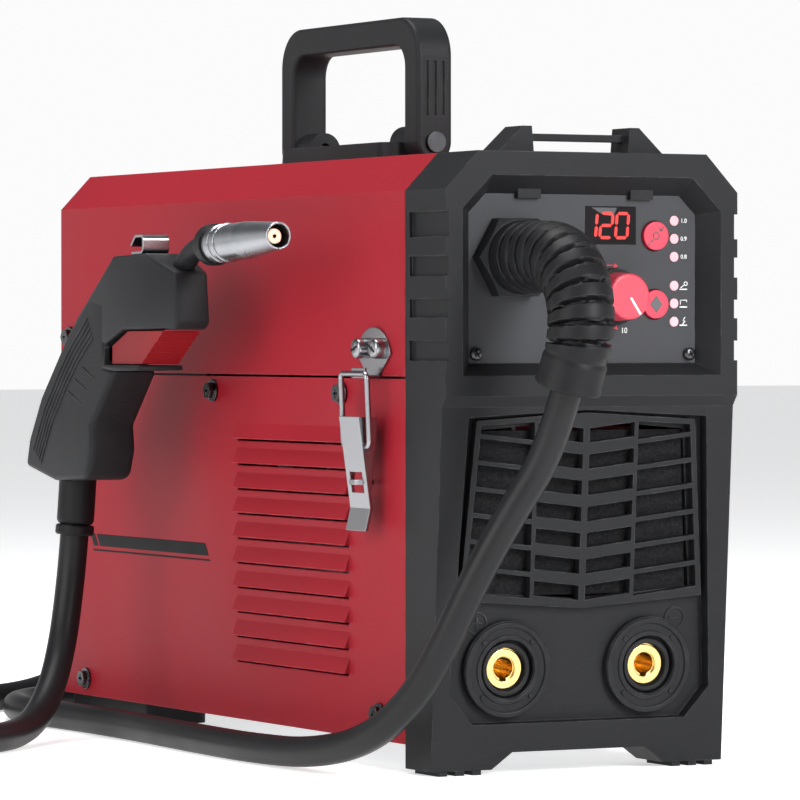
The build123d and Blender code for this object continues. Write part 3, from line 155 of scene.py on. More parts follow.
COIL_START = -101.0  # degrees, where the lead joins the coil
COIL_SWEEP = 1331.0  # degrees wound before the cable leaves
COIL_STEP = 15.0  # degrees between points of the coil's route
STEP_IN = (300, 360)  # degrees wound while the cable moves to the inner turns
STEP_OUT = (971, 1010)
STEP_UP = (640, 705)  # and while it climbs to the upper layer

# ---------------------------------------------------------------- boot, mm
BOOT_STRAIGHT = 23.0
BOOT_BEND = 32.0  # radius of the bend
BOOT_TURN = 108.0  # degrees
COLLAR_L = 12.5
BOOT_START = Vector((OUTLET[0], corners_of("outlet_gland")[0].y, OUTLET[1]))
FORWARD = Vector((0, -1, 0))
BOOT_DOWN = Vector((-0.12, 0, -0.993)).normalized()


# ================================================================ materials
def link(tree, source, target):
    tree.links.new(source, target)


def node(tree, kind, **values):
    made = tree.nodes.new(kind)
    for key, value in values.items():
        setattr(made, key, value)
    return made


def noise(tree, place, scale, detail=2.0, rough=0.5):
    made = node(tree, "ShaderNodeTexNoise")
    made.inputs["Scale"].default_value = scale
    made.inputs["Detail"].default_value = detail
    made.inputs["Roughness"].default_value = rough
    link(tree, place, made.inputs["Vector"])
    return made.outputs["Fac"]


def spread(tree, source, low, high, low_to, high_to):
    made = node(tree, "ShaderNodeMapRange")
    ends = {"From Min": low, "From Max": high, "To Min": low_to, "To Max": high_to}
    for key, value in ends.items():
        made.inputs[key].default_value = value
    link(tree, source, made.inputs["Value"])
    return made.outputs["Result"]


def blend_colours(tree, factor, first, second):
    made = node(tree, "ShaderNodeMix", data_type="RGBA")
    link(tree, factor, made.inputs[0])
    for socket, value in ((made.inputs[6], first), (made.inputs[7], second)):
        if isinstance(value, bpy.types.NodeSocket):
            link(tree, value, socket)
        else:
            socket.default_value = (*value, 1)
    return made.outputs[2]


def scaled(colour, share):
    return tuple(min(1.0, channel * share) for channel in colour)


def edge_mask(tree, radius):
    """Bevelled normal, and how far it leans from the true one: 0 on a flat face, up to 1 on an edge."""
    bevel = node(tree, "ShaderNodeBevel", samples=4)
    bevel.inputs["Radius"].default_value = radius
    flat = node(tree, "ShaderNodeNewGeometry")
    dot = node(tree, "ShaderNodeVectorMath", operation="DOT_PRODUCT")
    link(tree, bevel.outputs["Normal"], dot.inputs[0])
    link(tree, flat.outputs["Normal"], dot.inputs[1])
    return bevel.outputs["Normal"], spread(tree, dot.outputs["Value"], 0.999, 0.86, 0.0, 1.0)


def finish(
    name,
    colour,
    rough,
    metal=0.0,
    mottle=0.1,
    mottle_scale=18.0,
    grain_scale=1500.0,
    grain=0.25,
    depth=0.00006,
    rough_spread=0.06,
    worn=None,
    edge=0.0007,
    brush=None,
    coat=0.0,
    specular=0.5,
    speck=None,
):
    """A surface with broad mottling, fine grain in colour and height, and rounded, lightly worn edges."""
    material = bpy.data.materials.new(name)
    material.use_nodes = True
    tree = material.node_tree
    shader = tree.nodes["Principled BSDF"]
    shader.inputs["Metallic"].default_value = metal
    shader.inputs["Specular IOR Level"].default_value = specular
    shader.inputs["Coat Weight"].default_value = coat
    place = node(tree, "ShaderNodeTexCoord").outputs["Object"]
    stretched = place
    if brush:
        mapping = node(tree, "ShaderNodeMapping")
        mapping.inputs["Scale"].default_value = brush
        link(tree, place, mapping.inputs["Vector"])
        stretched = mapping.outputs["Vector"]
    broad = noise(tree, place, mottle_scale, detail=4.0)
    fine = noise(tree, stretched, grain_scale, detail=2.0)
    broad_share = spread(tree, broad, 0.3, 0.7, 0.0, 1.0)
    shade = blend_colours(tree, broad_share, scaled(colour, 1 - mottle), scaled(colour, 1 + mottle))
    fine_share = spread(tree, fine, 0.35, 0.65, 0.0, grain)
    shade = blend_colours(tree, fine_share, shade, scaled(colour, 0.72))
    if speck:
        spots = noise(tree, place, 5200.0, detail=0.0)
        spot_share = spread(tree, spots, 0.66, 0.72, 0.0, 0.5)
        shade = blend_colours(tree, spot_share, shade, speck)
    rounded, mask = edge_mask(tree, edge)
    if worn:
        patchy = node(tree, "ShaderNodeMath", operation="MULTIPLY")
        link(tree, mask, patchy.inputs[0])
        patches = noise(tree, place, 140.0, detail=3.0)
        link(tree, spread(tree, patches, 0.42, 0.68, 0.1, 1.0), patchy.inputs[1])
        shade = blend_colours(tree, patchy.outputs[0], shade, worn)
    link(tree, shade, shader.inputs["Base Color"])
    roughness = spread(tree, broad, 0.3, 0.7, rough - rough_spread, rough + rough_spread)
    link(tree, roughness, shader.inputs["Roughness"])
    bump = node(tree, "ShaderNodeBump")
    bump.inputs["Strength"].default_value = 0.6
    bump.inputs["Distance"].default_value = depth
    link(tree, fine, bump.inputs["Height"])
    link(tree, rounded, bump.inputs["Normal"])
    link(tree, bump.outputs["Normal"], shader.inputs["Normal"])
    return material


looks = {
    "black_moulding": finish(
        "moulded_black", (0.012, 0.0124, 0.0136), 0.46, mottle=0.12, grain_scale=1900.0, depth=0.00016,
        worn=(0.08, 0.08, 0.085), specular=0.13, speck=(0.04, 0.04, 0.043),
    ),
    "panel_black": finish(
        "panel_film", (0.036, 0.037, 0.041), 0.5, grain_scale=3200.0, depth=0.00003, worn=(0.09, 0.09, 0.095),
        specular=0.2,
    ),
    "red_paint": finish(
        "red_powder_coat", (0.27, 0.01, 0.019), 0.46, mottle=0.06, mottle_scale=9.0, grain_scale=2600.0,
        grain=0.12, depth=0.00005, worn=(0.5, 0.05, 0.065), edge=0.0009, specular=0.12,
    ),
    "red_plastic": finish(
        "red_satin_plastic", (0.2, 0.006, 0.009), 0.4, grain_scale=1600.0, depth=0.00003,
        worn=(0.4, 0.03, 0.03), specular=0.15,
    ),
    "lamp_lens": finish(
        "diffusing_lens", (0.66, 0.36, 0.4), 0.3, grain_scale=2500.0, depth=0.00002, coat=0.3,
    ),
    "chrome": finish(
        "bright_chrome", (0.32, 0.32, 0.335), 0.22, metal=1.0, mottle=0.05, mottle_scale=60.0,
        grain_scale=700.0, grain=0.12, depth=0.00001, rough_spread=0.05, edge=0.0005,
    ),
    "dark_chrome": finish(
        "black_chrome", (0.07, 0.07, 0.075), 0.24, metal=1.0, mottle_scale=90.0, grain_scale=900.0,
        depth=0.00001, worn=(0.3, 0.3, 0.31), edge=0.0004,
    ),
    "zinc_steel": finish(
        "zinc_plate", (0.42, 0.43, 0.44), 0.36, metal=1.0, mottle_scale=70.0, grain_scale=500.0,
        depth=0.00001, rough_spread=0.1,
    ),
    "brass": finish(
        "turned_brass", (0.82, 0.58, 0.22), 0.22, metal=1.0, mottle_scale=120.0, grain_scale=900.0,
        depth=0.00001, brush=(1, 8, 1), edge=0.0004,
    ),
    "copper": finish(
        "turned_copper", (0.56, 0.26, 0.19), 0.32, metal=1.0, mottle_scale=150.0, depth=0.00001,
        brush=(1, 8, 1),
    ),
    "aluminium": finish(
        "extruded_aluminium", (0.74, 0.75, 0.77), 0.34, metal=1.0, brush=(1, 0.05, 1), depth=0.00001,
    ),
    "nozzle_steel": finish(
        "satin_steel", (0.36, 0.37, 0.39), 0.28, metal=1.0, mottle_scale=50.0, grain_scale=800.0,
        brush=(1, 9, 1), depth=0.00001, worn=(0.6, 0.6, 0.6),
    ),
    "rubber_black": finish(
        "matt_rubber", (0.009, 0.009, 0.01), 0.46, mottle=0.16, mottle_scale=30.0, grain_scale=1500.0,
        depth=0.00004, worn=(0.04, 0.04, 0.042), specular=0.15,
    ),
    "board_green": finish(
        "solder_mask", (0.012, 0.12, 0.05), 0.35, mottle=0.3, mottle_scale=160.0, grain_scale=400.0, coat=0.3,
    ),
    "ferrite": finish("matt_ferrite", (0.05, 0.05, 0.055), 0.6, grain_scale=900.0, depth=0.00008),
    "spool_plastic": finish("spool_moulding", (0.05, 0.05, 0.055), 0.45, grain_scale=1200.0),
    "display_tint": finish(
        "dark_window", (0.006, 0.005, 0.006), 0.16, grain_scale=1500.0, depth=0.000004, rough_spread=0.03,
        specular=0.2,
    ),
}


def glow(name, colour, strength, base):
    """Printed or moulded colour that also shines, with a faint cell pattern."""
    material = bpy.data.materials.new(name)
    material.use_nodes = True
    tree = material.node_tree
    shader = tree.nodes["Principled BSDF"]
    place = node(tree, "ShaderNodeTexCoord").outputs["Object"]
    cells = spread(tree, noise(tree, place, 900.0), 0.3, 0.7, 0.0, 1.0)
    link(tree, blend_colours(tree, cells, scaled(base, 0.85), base), shader.inputs["Base Color"])
    link(tree, blend_colours(tree, cells, scaled(colour, 0.86), colour), shader.inputs["Emission Color"])
    shader.inputs["Emission Strength"].default_value = strength
    shader.inputs["Roughness"].default_value = 0.4
    return material


red_glow = glow("display_red", (1.0, 0.02, 0.012), 1.1, (0.2, 0.0, 0.0))
white_print = finish("white_print", (0.78, 0.78, 0.78), 0.5, grain_scale=2400.0, depth=0.00001)
# black print, also used as painted shade for the screws' slots and cross recesses
black_print_and_recess_shade = finish(
    "black_print_and_recess_shade", (0.008, 0.008, 0.009), 0.6, grain_scale=2400.0, depth=0.00001, specular=0.15,
)
red_print = finish("red_print", (0.52, 0.022, 0.055), 0.45, grain_scale=2400.0, depth=0.00001)
knob_red = finish(
    "knob_red", (0.5, 0.03, 0.06), 0.4, grain_scale=2400.0, depth=0.00002, worn=(0.7, 0.16, 0.2), coat=0.1,
)
cable_rubber = finish(
    "cable_rubber", (0.01, 0.01, 0.011), 0.4, mottle=0.14, mottle_scale=26.0, grain_scale=700.0,
    depth=0.00003, specular=0.2, edge=0.0003,
)
wire_metal = finish(
    "flux_wire", (0.62, 0.6, 0.57), 0.3, metal=1.0, mottle_scale=90.0, grain_scale=900.0, depth=0.00001,
)

for row in frame["record"]["subparts"]:
    cad = frame["nodes"][row["node"]]
    cad.data.materials.clear()
    cad.data.materials.append(looks[row["material_slot"]])


# ================================================================ mesh helpers, in millimetres
def bare_object(name, bm):
    """Turns a mesh in mm into an object in metres."""
    bmesh.ops.recalc_face_normals(bm, faces=bm.faces)
    bmesh.ops.scale(bm, verts=bm.verts, vec=(MM, MM, MM))
    mesh = bpy.data.meshes.new(name)
    bm.to_mesh(mesh)
    bm.free()
    made = bpy.data.objects.new(name, mesh)
    scene.collection.objects.link(made)
    return made


def shown_mesh(thing):
    """A new mesh of an object as its curve settings or modifiers make it."""
    bpy.context.view_layer.update()
    return bpy.data.meshes.new_from_object(thing.evaluated_get(bpy.context.evaluated_depsgraph_get()))


def make_object(name, bm, look, body, smooth=None):
    """Turns a mesh in mm into a finished piece that rides on a body."""
    bmesh.ops.remove_doubles(bm, verts=bm.verts, dist=0.0005)
    piece = bare_object(name, bm)
    mesh = piece.data
    mesh.materials.append(look)
    if smooth is not None:
        mesh.shade_smooth()
        mesh.set_sharp_from_angle(angle=math.radians(smooth))
    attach(piece, body)
    return piece


def add_prism(bm, outline, at, depth):
    """A flat outline, closed and made as thick as depth. at turns its two numbers into a point."""
    low = [bm.verts.new(at(*point)) for point in outline]
    high = [bm.verts.new(vert.co + Vector(depth)) for vert in low]
    bm.faces.new(low)
    bm.faces.new(list(reversed(high)))
    for k in range(len(low)):
        n = (k + 1) % len(low)
        bm.faces.new((low[k], low[n], high[n], high[k]))


def add_ring(bm, centre, inner, outer, at, depth, start=0.0, sweep=360.0, steps=48):
    """A flat ring, or a piece of one, made as thick as depth."""
    whole = sweep >= 360
    count = steps if whole else steps + 1
    rows = []
    for k in range(count):
        angle = math.radians(start + sweep * k / steps)
        way = (math.cos(angle), math.sin(angle))
        near = Vector(at(centre[0] + inner * way[0], centre[1] + inner * way[1]))
        far = Vector(at(centre[0] + outer * way[0], centre[1] + outer * way[1]))
        rows.append([bm.verts.new(p) for p in (near, far, far + Vector(depth), near + Vector(depth))])
    for k in range(steps):
        a, b = rows[k], rows[(k + 1) % count]
        for i in range(4):
            j = (i + 1) % 4
            bm.faces.new((a[i], a[j], b[j], b[i]))
    if not whole:
        bm.faces.new(rows[0])
        bm.faces.new(list(reversed(rows[-1])))


def add_rings(bm, rings, loop=False):
    """Joins rings of points into one closed skin, with two ends or round in a loop."""
    made = [[bm.verts.new(point) for point in ring] for ring in rings]
    pairs = list(zip(made, made[1:]))
    if loop:
        pairs.append((made[-1], made[0]))
    for a, b in pairs:
        for k in range(len(a)):
            n = (k + 1) % len(a)
            bm.faces.new((a[k], a[n], b[n], b[k]))
    if not loop:
        bm.faces.new(list(reversed(made[0])))
        bm.faces.new(made[-1])


def add_turned(bm, origin, axis, profile, segments=48, loop=False):
    """A turned shape: profile lists (distance along the axis, radius)."""
    axis = Vector(axis).normalized()
    side = axis.orthogonal().normalized()
    other = axis.cross(side)
    rings = []
    for along, radius in profile:
        middle = Vector(origin) + axis * along
        ring = []
        for k in range(segments):
            angle = math.tau * k / segments
            ring.append(middle + (side * math.cos(angle) + other * math.sin(angle)) * radius)
        rings.append(ring)
    add_rings(bm, rings, loop=loop)


def bar_corners(middle, way, across):
    """Four corners of a bar that reaches along way and across from its middle."""
    return [middle - way - across, middle + way - across, middle + way + across, middle - way + across]


def on_panel(x, z):
    return (x, PANEL_Y, z)


def on_left(y, z):
    return (LEFT_X, y, z)


def on_recess(x, z):
    """A point of the lower face's recess floor."""
    return (x, LOWER_Y0 + RECESS + (z - LOWER_Z0) * (LOWER_Y1 - LOWER_Y0) / (LOWER_Z1 - LOWER_Z0), z)


PROUD = (0, -0.14, 0)  # thickness of print on the panel
THIN = (0, -0.1, 0)  # and of finer print
LEFT_PROUD = (-0.12, 0, 0)  # and of print on the left side


# ================================================================ camera
CAMERA_TILT = 0.72  # degrees below level
CAMERA_SWING = -27.58  # degrees, so that the left side shows
camera_data = bpy.data.cameras.new("camera")
camera_data.lens = 224.6
camera_data.sensor_width = 36.0
camera_data.clip_end = 100.0
camera = bpy.data.objects.new("camera", camera_data)
camera.location = (-1.0351, -2.0028, 0.1819)
camera.rotation_euler = (math.radians(90 - CAMERA_TILT), 0, math.radians(CAMERA_SWING))
scene.collection.objects.link(camera)
scene.camera = camera

# ================================================================ torch cable
def eased(value, start, end):
    """Goes smoothly from 0 at start to 1 at end."""
    share = min(1.0, max(0.0, (value - start) / (end - start)))
    return share * share * (3 - 2 * share)


coil_points = []
for step in range(int(COIL_SWEEP / COIL_STEP) + 1):
    wound = step * COIL_STEP
    inward = eased(wound, *STEP_IN) - eased(wound, *STEP_OUT)
    radius = COIL_OUTER - (COIL_OUTER - COIL_INNER) * inward
    height = CABLE_R + 2 * CABLE_R * eased(wound, *STEP_UP)
    angle = math.radians(COIL_START + wound)
    x = COIL_CENTRE.x + radius * math.cos(angle)
    y = COIL_CENTRE.y + radius * math.sin(angle)
    coil_points.append((x, y, height))

cable_points = [Vector(p) * MM for p in LEAD_ROUTE + coil_points + RETURN_ROUTE]
cable_curve = bpy.data.curves.new("torch_cable", "CURVE")
cable_curve.dimensions = "3D"
cable_curve.resolution_u = 10
cable_curve.bevel_depth = CABLE_R * MM
cable_curve.bevel_resolution = 8
cable_curve.use_fill_caps = True
spline = cable_curve.splines.new("NURBS")
spline.points.add(len(cable_points) - 1)
for target, point in zip(spline.points, cable_points):
    target.co = (*point, 1)
spline.order_u = 3
spline.use_endpoint_u = True
cable_curve.materials.append(cable_rubber)
cable = bpy.data.objects.new("torch_cable", cable_curve)
scene.collection.objects.link(cable)
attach(cable, "machine")
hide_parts("gun_cable_lead", "gun_cable_return", "gun_cable_coil")


def centreline():
    """The cable's own line as points in mm, read from its spline."""
    bare = cable_curve.copy()
    bare.bevel_depth = 0
    line = bpy.data.objects.new("line", bare)
    scene.collection.objects.link(line)
    mesh = shown_mesh(line)
    points = [vert.co / MM for vert in mesh.vertices]
    bpy.data.objects.remove(line)
    bpy.data.curves.remove(bare)
    bpy.data.meshes.remove(mesh)
    return points


cable_line = centreline()


def add_tube_along(bm, line, profile, segments=32):
    """A turned shape bent along a line: profile lists (distance along, radius)."""
    reach = [0.0]
    for a, b in zip(line, line[1:]):
        reach.append(reach[-1] + (b - a).length)
    rings = []
    side = None
    for along, radius in profile:
        place = min(max(along, 0.0), reach[-1] - 1e-6)
        k = max(i for i in range(len(reach) - 1) if reach[i] <= place)
        share = (place - reach[k]) / (reach[k + 1] - reach[k])
        middle = line[k].lerp(line[k + 1], share)
        way = (line[k + 1] - line[k]).normalized()
        middle = middle + way * (along - place)
        side = (way.orthogonal() if side is None else side - way * side.dot(way)).normalized()
        other = way.cross(side)
        ring = []
        for s in range(segments):
            angle = math.tau * s / segments
            ring.append(middle + (side * math.cos(angle) + other * math.sin(angle)) * radius)
        rings.append(ring)
    add_rings(bm, rings)


# sleeve under the torch handle, with its clamp ring
SLEEVE_R = 8.5
from_torch = list(reversed(cable_line))
bm = bmesh.new()
sleeve_profile = [(-2.0, 6.2), (-2.0, SLEEVE_R)] + [(2.0 * number, SLEEVE_R) for number in range(12)]
sleeve_profile += [(23.0, 8.3), (24.0, 7.6), (24.4, 6.7), (22.0, 6.3)]
add_tube_along(bm, from_torch, sleeve_profile)
sleeve = make_object("torch_sleeve", bm, looks["rubber_black"], "machine", smooth=35)

bm = bmesh.new()
ring_profile = [(24.6, 6.4), (24.6, 8.2), (25.2, 8.8), (28.4, 8.8), (29.2, 8.2), (29.2, 6.4)]
add_tube_along(bm, from_torch, ring_profile)
ring = make_object("torch_cable_ring", bm, looks["rubber_black"], "machine", smooth=35)

# strap that holds the spare turns together
TIE_ANGLE = math.radians(40.0)
tie_way = Vector((math.cos(TIE_ANGLE), math.sin(TIE_ANGLE), 0))
tie_middle = Vector((COIL_CENTRE.x, COIL_CENTRE.y, 0)) + tie_way * (COIL_OUTER + COIL_INNER) / 2
tie_along = Vector((-tie_way.y, tie_way.x, 0))
TIE_HALF = 4.0  # half the strap's width
UPPER_Z = 3 * CABLE_R  # height of the upper layer
quarter_turns = (
    (CABLE_R, UPPER_Z, 0), (-CABLE_R, UPPER_Z, 90), (-CABLE_R, CABLE_R, 180), (CABLE_R, CABLE_R, 270),
)
outline = []
for side_r, side_z, start in quarter_turns:
    for k in range(7):
        angle = math.radians(start + 15 * k)
        outline.append((side_r, side_z, math.cos(angle), math.sin(angle)))
bm = bmesh.new()
rings = []
for r, z, ca, sa in outline:
    ring_points = []
    for depth, across in ((0.15, -TIE_HALF), (1.3, -TIE_HALF), (1.3, TIE_HALF), (0.15, TIE_HALF)):
        out = CABLE_R + depth
        height = max(0.05 + depth * 0.2, z + out * sa)
        point = tie_middle + tie_way * (r + out * ca) + tie_along * across
        ring_points.append(point + Vector((0, 0, height)))
    rings.append(ring_points)
add_rings(bm, rings, loop=True)
tie = make_object("coil_tie", bm, looks["rubber_black"], "machine", smooth=40)


# ================================================================ strain relief boot
BOOT_LENGTH = BOOT_STRAIGHT + BOOT_BEND * math.radians(BOOT_TURN) + COLLAR_L


def boot_frame(along):
    """Point on the boot's line, the way it runs, and the two directions across it."""
    bend_side = FORWARD.cross(BOOT_DOWN).normalized()
    turned = math.degrees(max(0.0, along - BOOT_STRAIGHT) / BOOT_BEND)
    turned = math.radians(min(turned, BOOT_TURN))
    point = BOOT_START + FORWARD * min(along, BOOT_STRAIGHT)
    point = point + FORWARD * BOOT_BEND * math.sin(turned) + BOOT_DOWN * BOOT_BEND * (1 - math.cos(turned))
    way = FORWARD * math.cos(turned) + BOOT_DOWN * math.sin(turned)
    point = point + way * max(0.0, along - BOOT_LENGTH + COLLAR_L)
    return point, way, bend_side, way.cross(bend_side).normalized()


RIB_PITCH = 6.4
RIB_START = 4.0
RIB_END = BOOT_LENGTH - COLLAR_L - 2.0
BOOT_SEGMENTS = 96
BOOT_STATION = 0.46  # distance between rings
BOOT_BACK_R = 15.6  # radius over the ribs at the nut
BOOT_TAPER = 2.3  # how much smaller it is at the collar
GROOVE_DEPTH = 3.2


def boot_radius(along, angle):
    """Spiral ribs, with webs that close the grooves on two sides."""
    body = BOOT_BACK_R - BOOT_TAPER * min(1.0, along / RIB_END) ** 0.7
    if along < RIB_START or along > RIB_END:
        return body - 0.2
    turns = (along - RIB_START) / RIB_PITCH - angle / math.tau
    turn_number = math.floor(turns)
    phase = turns - turn_number
    groove = min(1.0, max(0.0, (abs(phase - 0.5) - 0.33) / 0.07))
    web_angle = angle * 2 + (math.pi if turn_number % 2 else 0.0)
    web = min(1.0, max(0.0, (math.cos(web_angle) - 0.72) / 0.12))
    ends = min(1.0, (along - RIB_START) / 2.0, (RIB_END - along) / 2.0)
    return body - GROOVE_DEPTH * groove * (1 - 0.75 * web) * max(0.0, ends)


def boot_ring(along, reach_at):
    """A ring of points round the boot's line; reach_at gives the radius at an angle."""
    point, way, across, up = boot_frame(along)
    ring_points = []
    for k in range(BOOT_SEGMENTS):
        angle = math.tau * k / BOOT_SEGMENTS
        side = across * math.cos(angle) + up * math.sin(angle)
        ring_points.append(point + side * reach_at(angle))
    return ring_points


bm = bmesh.new()
rings = []
for k in range(int((RIB_END + 1) / BOOT_STATION)):
    along = BOOT_STATION * k
    rings.append(boot_ring(along, lambda angle: boot_radius(along, angle)))
collar = [
    (RIB_END + 1.2, 12.6), (RIB_END + 2.4, 13.3), (RIB_END + 3.2, 13.5), (BOOT_LENGTH - 2.4, 13.5),
    (BOOT_LENGTH - 1.6, 13.9), (BOOT_LENGTH - 0.5, 13.9), (BOOT_LENGTH, 13.4), (BOOT_LENGTH, 9.8),
    (BOOT_LENGTH - 3.0, 8.6), (BOOT_LENGTH - 6.0, 6.9),
]
for along, reach in collar:
    rings.append(boot_ring(along, lambda angle: reach))
add_rings(bm, rings)
boot = make_object("boot", bm, looks["rubber_black"], "machine", smooth=32)
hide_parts("strain_relief_boot")


# ================================================================ outlet nut
NUT_FLAT = 16.15  # from the middle to a flat
NUT_T = 8.0
NUT_BORE = 9.0
NUT_CROWN = 15.7  # where the chamfer of the corners starts
NUT_CHAMFER = 0.62
NUT_SEGMENTS = 72
bm = bmesh.new()
rings = [[], [], [], [], []]
for k in range(NUT_SEGMENTS):
    angle = math.tau * k / NUT_SEGMENTS
    from_flat = (math.degrees(angle) - 30) % 60 - 30
    hexagon = NUT_FLAT / math.cos(math.radians(abs(from_flat)))
    way = Vector((math.sin(angle), 0, math.cos(angle)))
    middle = Vector((OUTLET[0], PANEL_Y, OUTLET[1]))
    front = NUT_T - NUT_CHAMFER * (hexagon - NUT_CROWN)
    reaches = (NUT_BORE, hexagon, hexagon, NUT_CROWN, NUT_BORE)
    for ring_points, reach, proud in zip(rings, reaches, (0, 0, front, NUT_T, NUT_T)):
        ring_points.append(middle + way * reach + FORWARD * proud)
add_rings(bm, rings, loop=True)
nut = make_object("gland_nut", bm, looks["black_moulding"], "machine", smooth=12)
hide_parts("outlet_nut")

# ================================================================ display
DIGIT_W, DIGIT_H, SEGMENT = 5.6, 10.2, 1.35
DIGIT_PLACES = ((1, -9.6), (2, -2.0), (0, 5.6))  # each digit, and how far right of the middle
SEGMENT_GAP = 0.25
SLANT = 0.09
LIT = {1: "bc", 2: "abged", 0: "abcdef"}
HALF_W, HALF_H = DIGIT_W / 2, DIGIT_H / 2
SEGMENT_ENDS = {
    "a": ((-HALF_W, HALF_H), (HALF_W, HALF_H)),
    "b": ((HALF_W, HALF_H), (HALF_W, 0)),
    "c": ((HALF_W, 0), (HALF_W, -HALF_H)),
    "d": ((-HALF_W, -HALF_H), (HALF_W, -HALF_H)),
    "e": ((-HALF_W, 0), (-HALF_W, -HALF_H)),
    "f": ((-HALF_W, HALF_H), (-HALF_W, 0)),
    "g": ((-HALF_W, 0), (HALF_W, 0)),
}


def segment_outline(first, last, middle):
    """A six-sided bar between two points of a digit, leaning a little."""
    a, b = Vector(first), Vector(last)
    way = (b - a).normalized()
    side = Vector((-way.y, way.x)) * SEGMENT / 2
    a, b = a + way * SEGMENT_GAP, b - way * SEGMENT_GAP
    tip = way * SEGMENT / 2
    corners = (a, a + tip + side, b - tip + side, b, b - tip - side, a + tip - side)
    return [(middle[0] + p.x + SLANT * p.y, middle[1] + p.y) for p in corners]


bm = bmesh.new()
for digit, right in DIGIT_PLACES:
    for letter in LIT[digit]:
        first, last = SEGMENT_ENDS[letter]
        add_prism(bm, segment_outline(first, last, (DISPLAY[0] + right, DISPLAY[1])), on_panel, PROUD)
make_object("display_digits", bm, red_glow, "machine")

# painted reflection: a lighter grey patch on the dark display window stands in for a highlight on its glass
painted_reflection = finish("window_painted_reflection", (0.075, 0.075, 0.08), 0.2, grain_scale=1200.0, depth=0.000003)
PAINTED_REFLECTION = ((-9.2, 7.5), (3.2, 7.5), (1.4, 3.8), (-4.2, 4.8))  # from the middle of the display
bm = bmesh.new()
add_prism(bm, [(DISPLAY[0] + x, DISPLAY[1] + z) for x, z in PAINTED_REFLECTION], on_panel, (0, -0.05, 0))
make_object("display_painted_reflection", bm, painted_reflection, "machine")

# ================================================================ buttons and knob
grey_print = finish("grey_print", (0.07, 0.071, 0.075), 0.5, grain_scale=2400.0, depth=0.00001)


def on_button(x, z):
    return (x, BUTTON_FACE, z)


bm = bmesh.new()
wx, wz = WIRE_BUTTON
add_ring(bm, WIRE_BUTTON, 1.25, 1.7, on_button, THIN, steps=32)
for way in (-1, 1):
    start, end = Vector((wx + way * 1.5, wz + way * 1.6)), Vector((wx + way * 3.9, wz + way * 4.0))
    side = Vector((0.16, -0.16))
    add_prism(bm, [start - side, end - side, end + side, start + side], on_button, THIN)
add_ring(bm, (wx + 0.9, wz + 1.0), 2.1, 2.4, on_button, THIN, start=20, sweep=70, steps=10)
make_object("wire_button_mark", bm, grey_print, "wire_key")

bm = bmesh.new()
mx, mz = MODE_BUTTON
add_prism(bm, [(mx - 3.0, mz), (mx, mz - 3.6), (mx + 3.0, mz), (mx, mz + 3.6)], on_button, THIN)
make_object("mode_button_mark", bm, grey_print, "mode_key")
for button in ("wire_button", "mode_button"):
    frame["nodes"][button].data.materials[0] = red_print
frame["nodes"]["knob_cap"].data.materials[0] = knob_red

POINTER_ANGLE = math.radians(146.0)  # clockwise from the top
POINTER_START, POINTER_END, POINTER_W = 0.6, 9.0, 1.0
pointer_way = Vector((math.sin(POINTER_ANGLE), math.cos(POINTER_ANGLE)))
pointer_side = Vector((pointer_way.y, -pointer_way.x)) * POINTER_W / 2
pointer_middle = Vector(KNOB) + pointer_way * (POINTER_START + POINTER_END) / 2
corners = bar_corners(pointer_middle, pointer_way * (POINTER_END - POINTER_START) / 2, pointer_side)
bm = bmesh.new()
add_prism(bm, corners, lambda x, z: (x, KNOB_FRONT, z), (0, -0.15, 0))
make_object("knob_pointer", bm, white_print, "control_knob")

# flutes round the knob's skirt
FLUTES = 36
bm = bmesh.new()
for k in range(FLUTES):
    angle = math.tau * k / FLUTES
    way = Vector((math.sin(angle), 0, math.cos(angle)))
    across = Vector((math.cos(angle), 0, -math.sin(angle))) * 0.45
    base = Vector((KNOB[0], PANEL_Y - 1.2, KNOB[1]))
    foot = [base + way * 11.6 - across, base + way * 12.1, base + way * 11.6 + across]
    top = [p + FORWARD * 4.6 - way * 0.32 for p in foot]
    add_rings(bm, [foot, top])
make_object("knob_flutes", bm, looks["black_moulding"], "control_knob")


def label(name, text, x, z, size, look):
    """Raised generic lettering on the control panel."""
    data = bpy.data.curves.new(name, "FONT")
    data.body = text
    data.size = size * MM
    data.extrude = 0.05 * MM
    data.align_x = "CENTER"
    data.align_y = "CENTER"
    data.offset = 0.02 * MM
    text_object = bpy.data.objects.new(name, data)
    scene.collection.objects.link(text_object)
    mesh = shown_mesh(text_object)
    bpy.data.objects.remove(text_object)
    bm = bmesh.new()
    bm.from_mesh(mesh)
    bpy.data.meshes.remove(mesh)
    for vert in bm.verts:
        flat = vert.co / MM
        vert.co = Vector((x + flat.x, PANEL_Y - 0.05 - flat.z, z + flat.y))
    make_object(name, bm, look, "machine")


DIAL_HALF_TURN = 154.0  # degrees from the top to the first and last number
NUMBER_REACH = 15.8
ARC_INNER, ARC_OUTER = 13.0, 13.5
for number, turn in ((1, -DIAL_HALF_TURN), (10, DIAL_HALF_TURN)):
    angle = math.radians(turn)
    x, z = KNOB[0] + NUMBER_REACH * math.sin(angle), KNOB[1] + NUMBER_REACH * math.cos(angle)
    label(f"dial_number_{number}", str(number), x, z, 3.2, white_print)
bm = bmesh.new()
add_ring(bm, KNOB, ARC_INNER, ARC_OUTER, on_panel, PROUD, start=82, sweep=190, steps=48)
for angle in (82.0, 286.0):
    way = Vector((math.cos(math.radians(angle)), math.sin(math.radians(angle))))
    side = Vector((-way.y, way.x))
    base = Vector(KNOB) + way * (ARC_INNER + ARC_OUTER) / 2
    add_prism(bm, [base - side * 2.2, base + way * 1.1, base - way * 1.1], on_panel, PROUD)
make_object("dial_arc", bm, red_print, "machine")
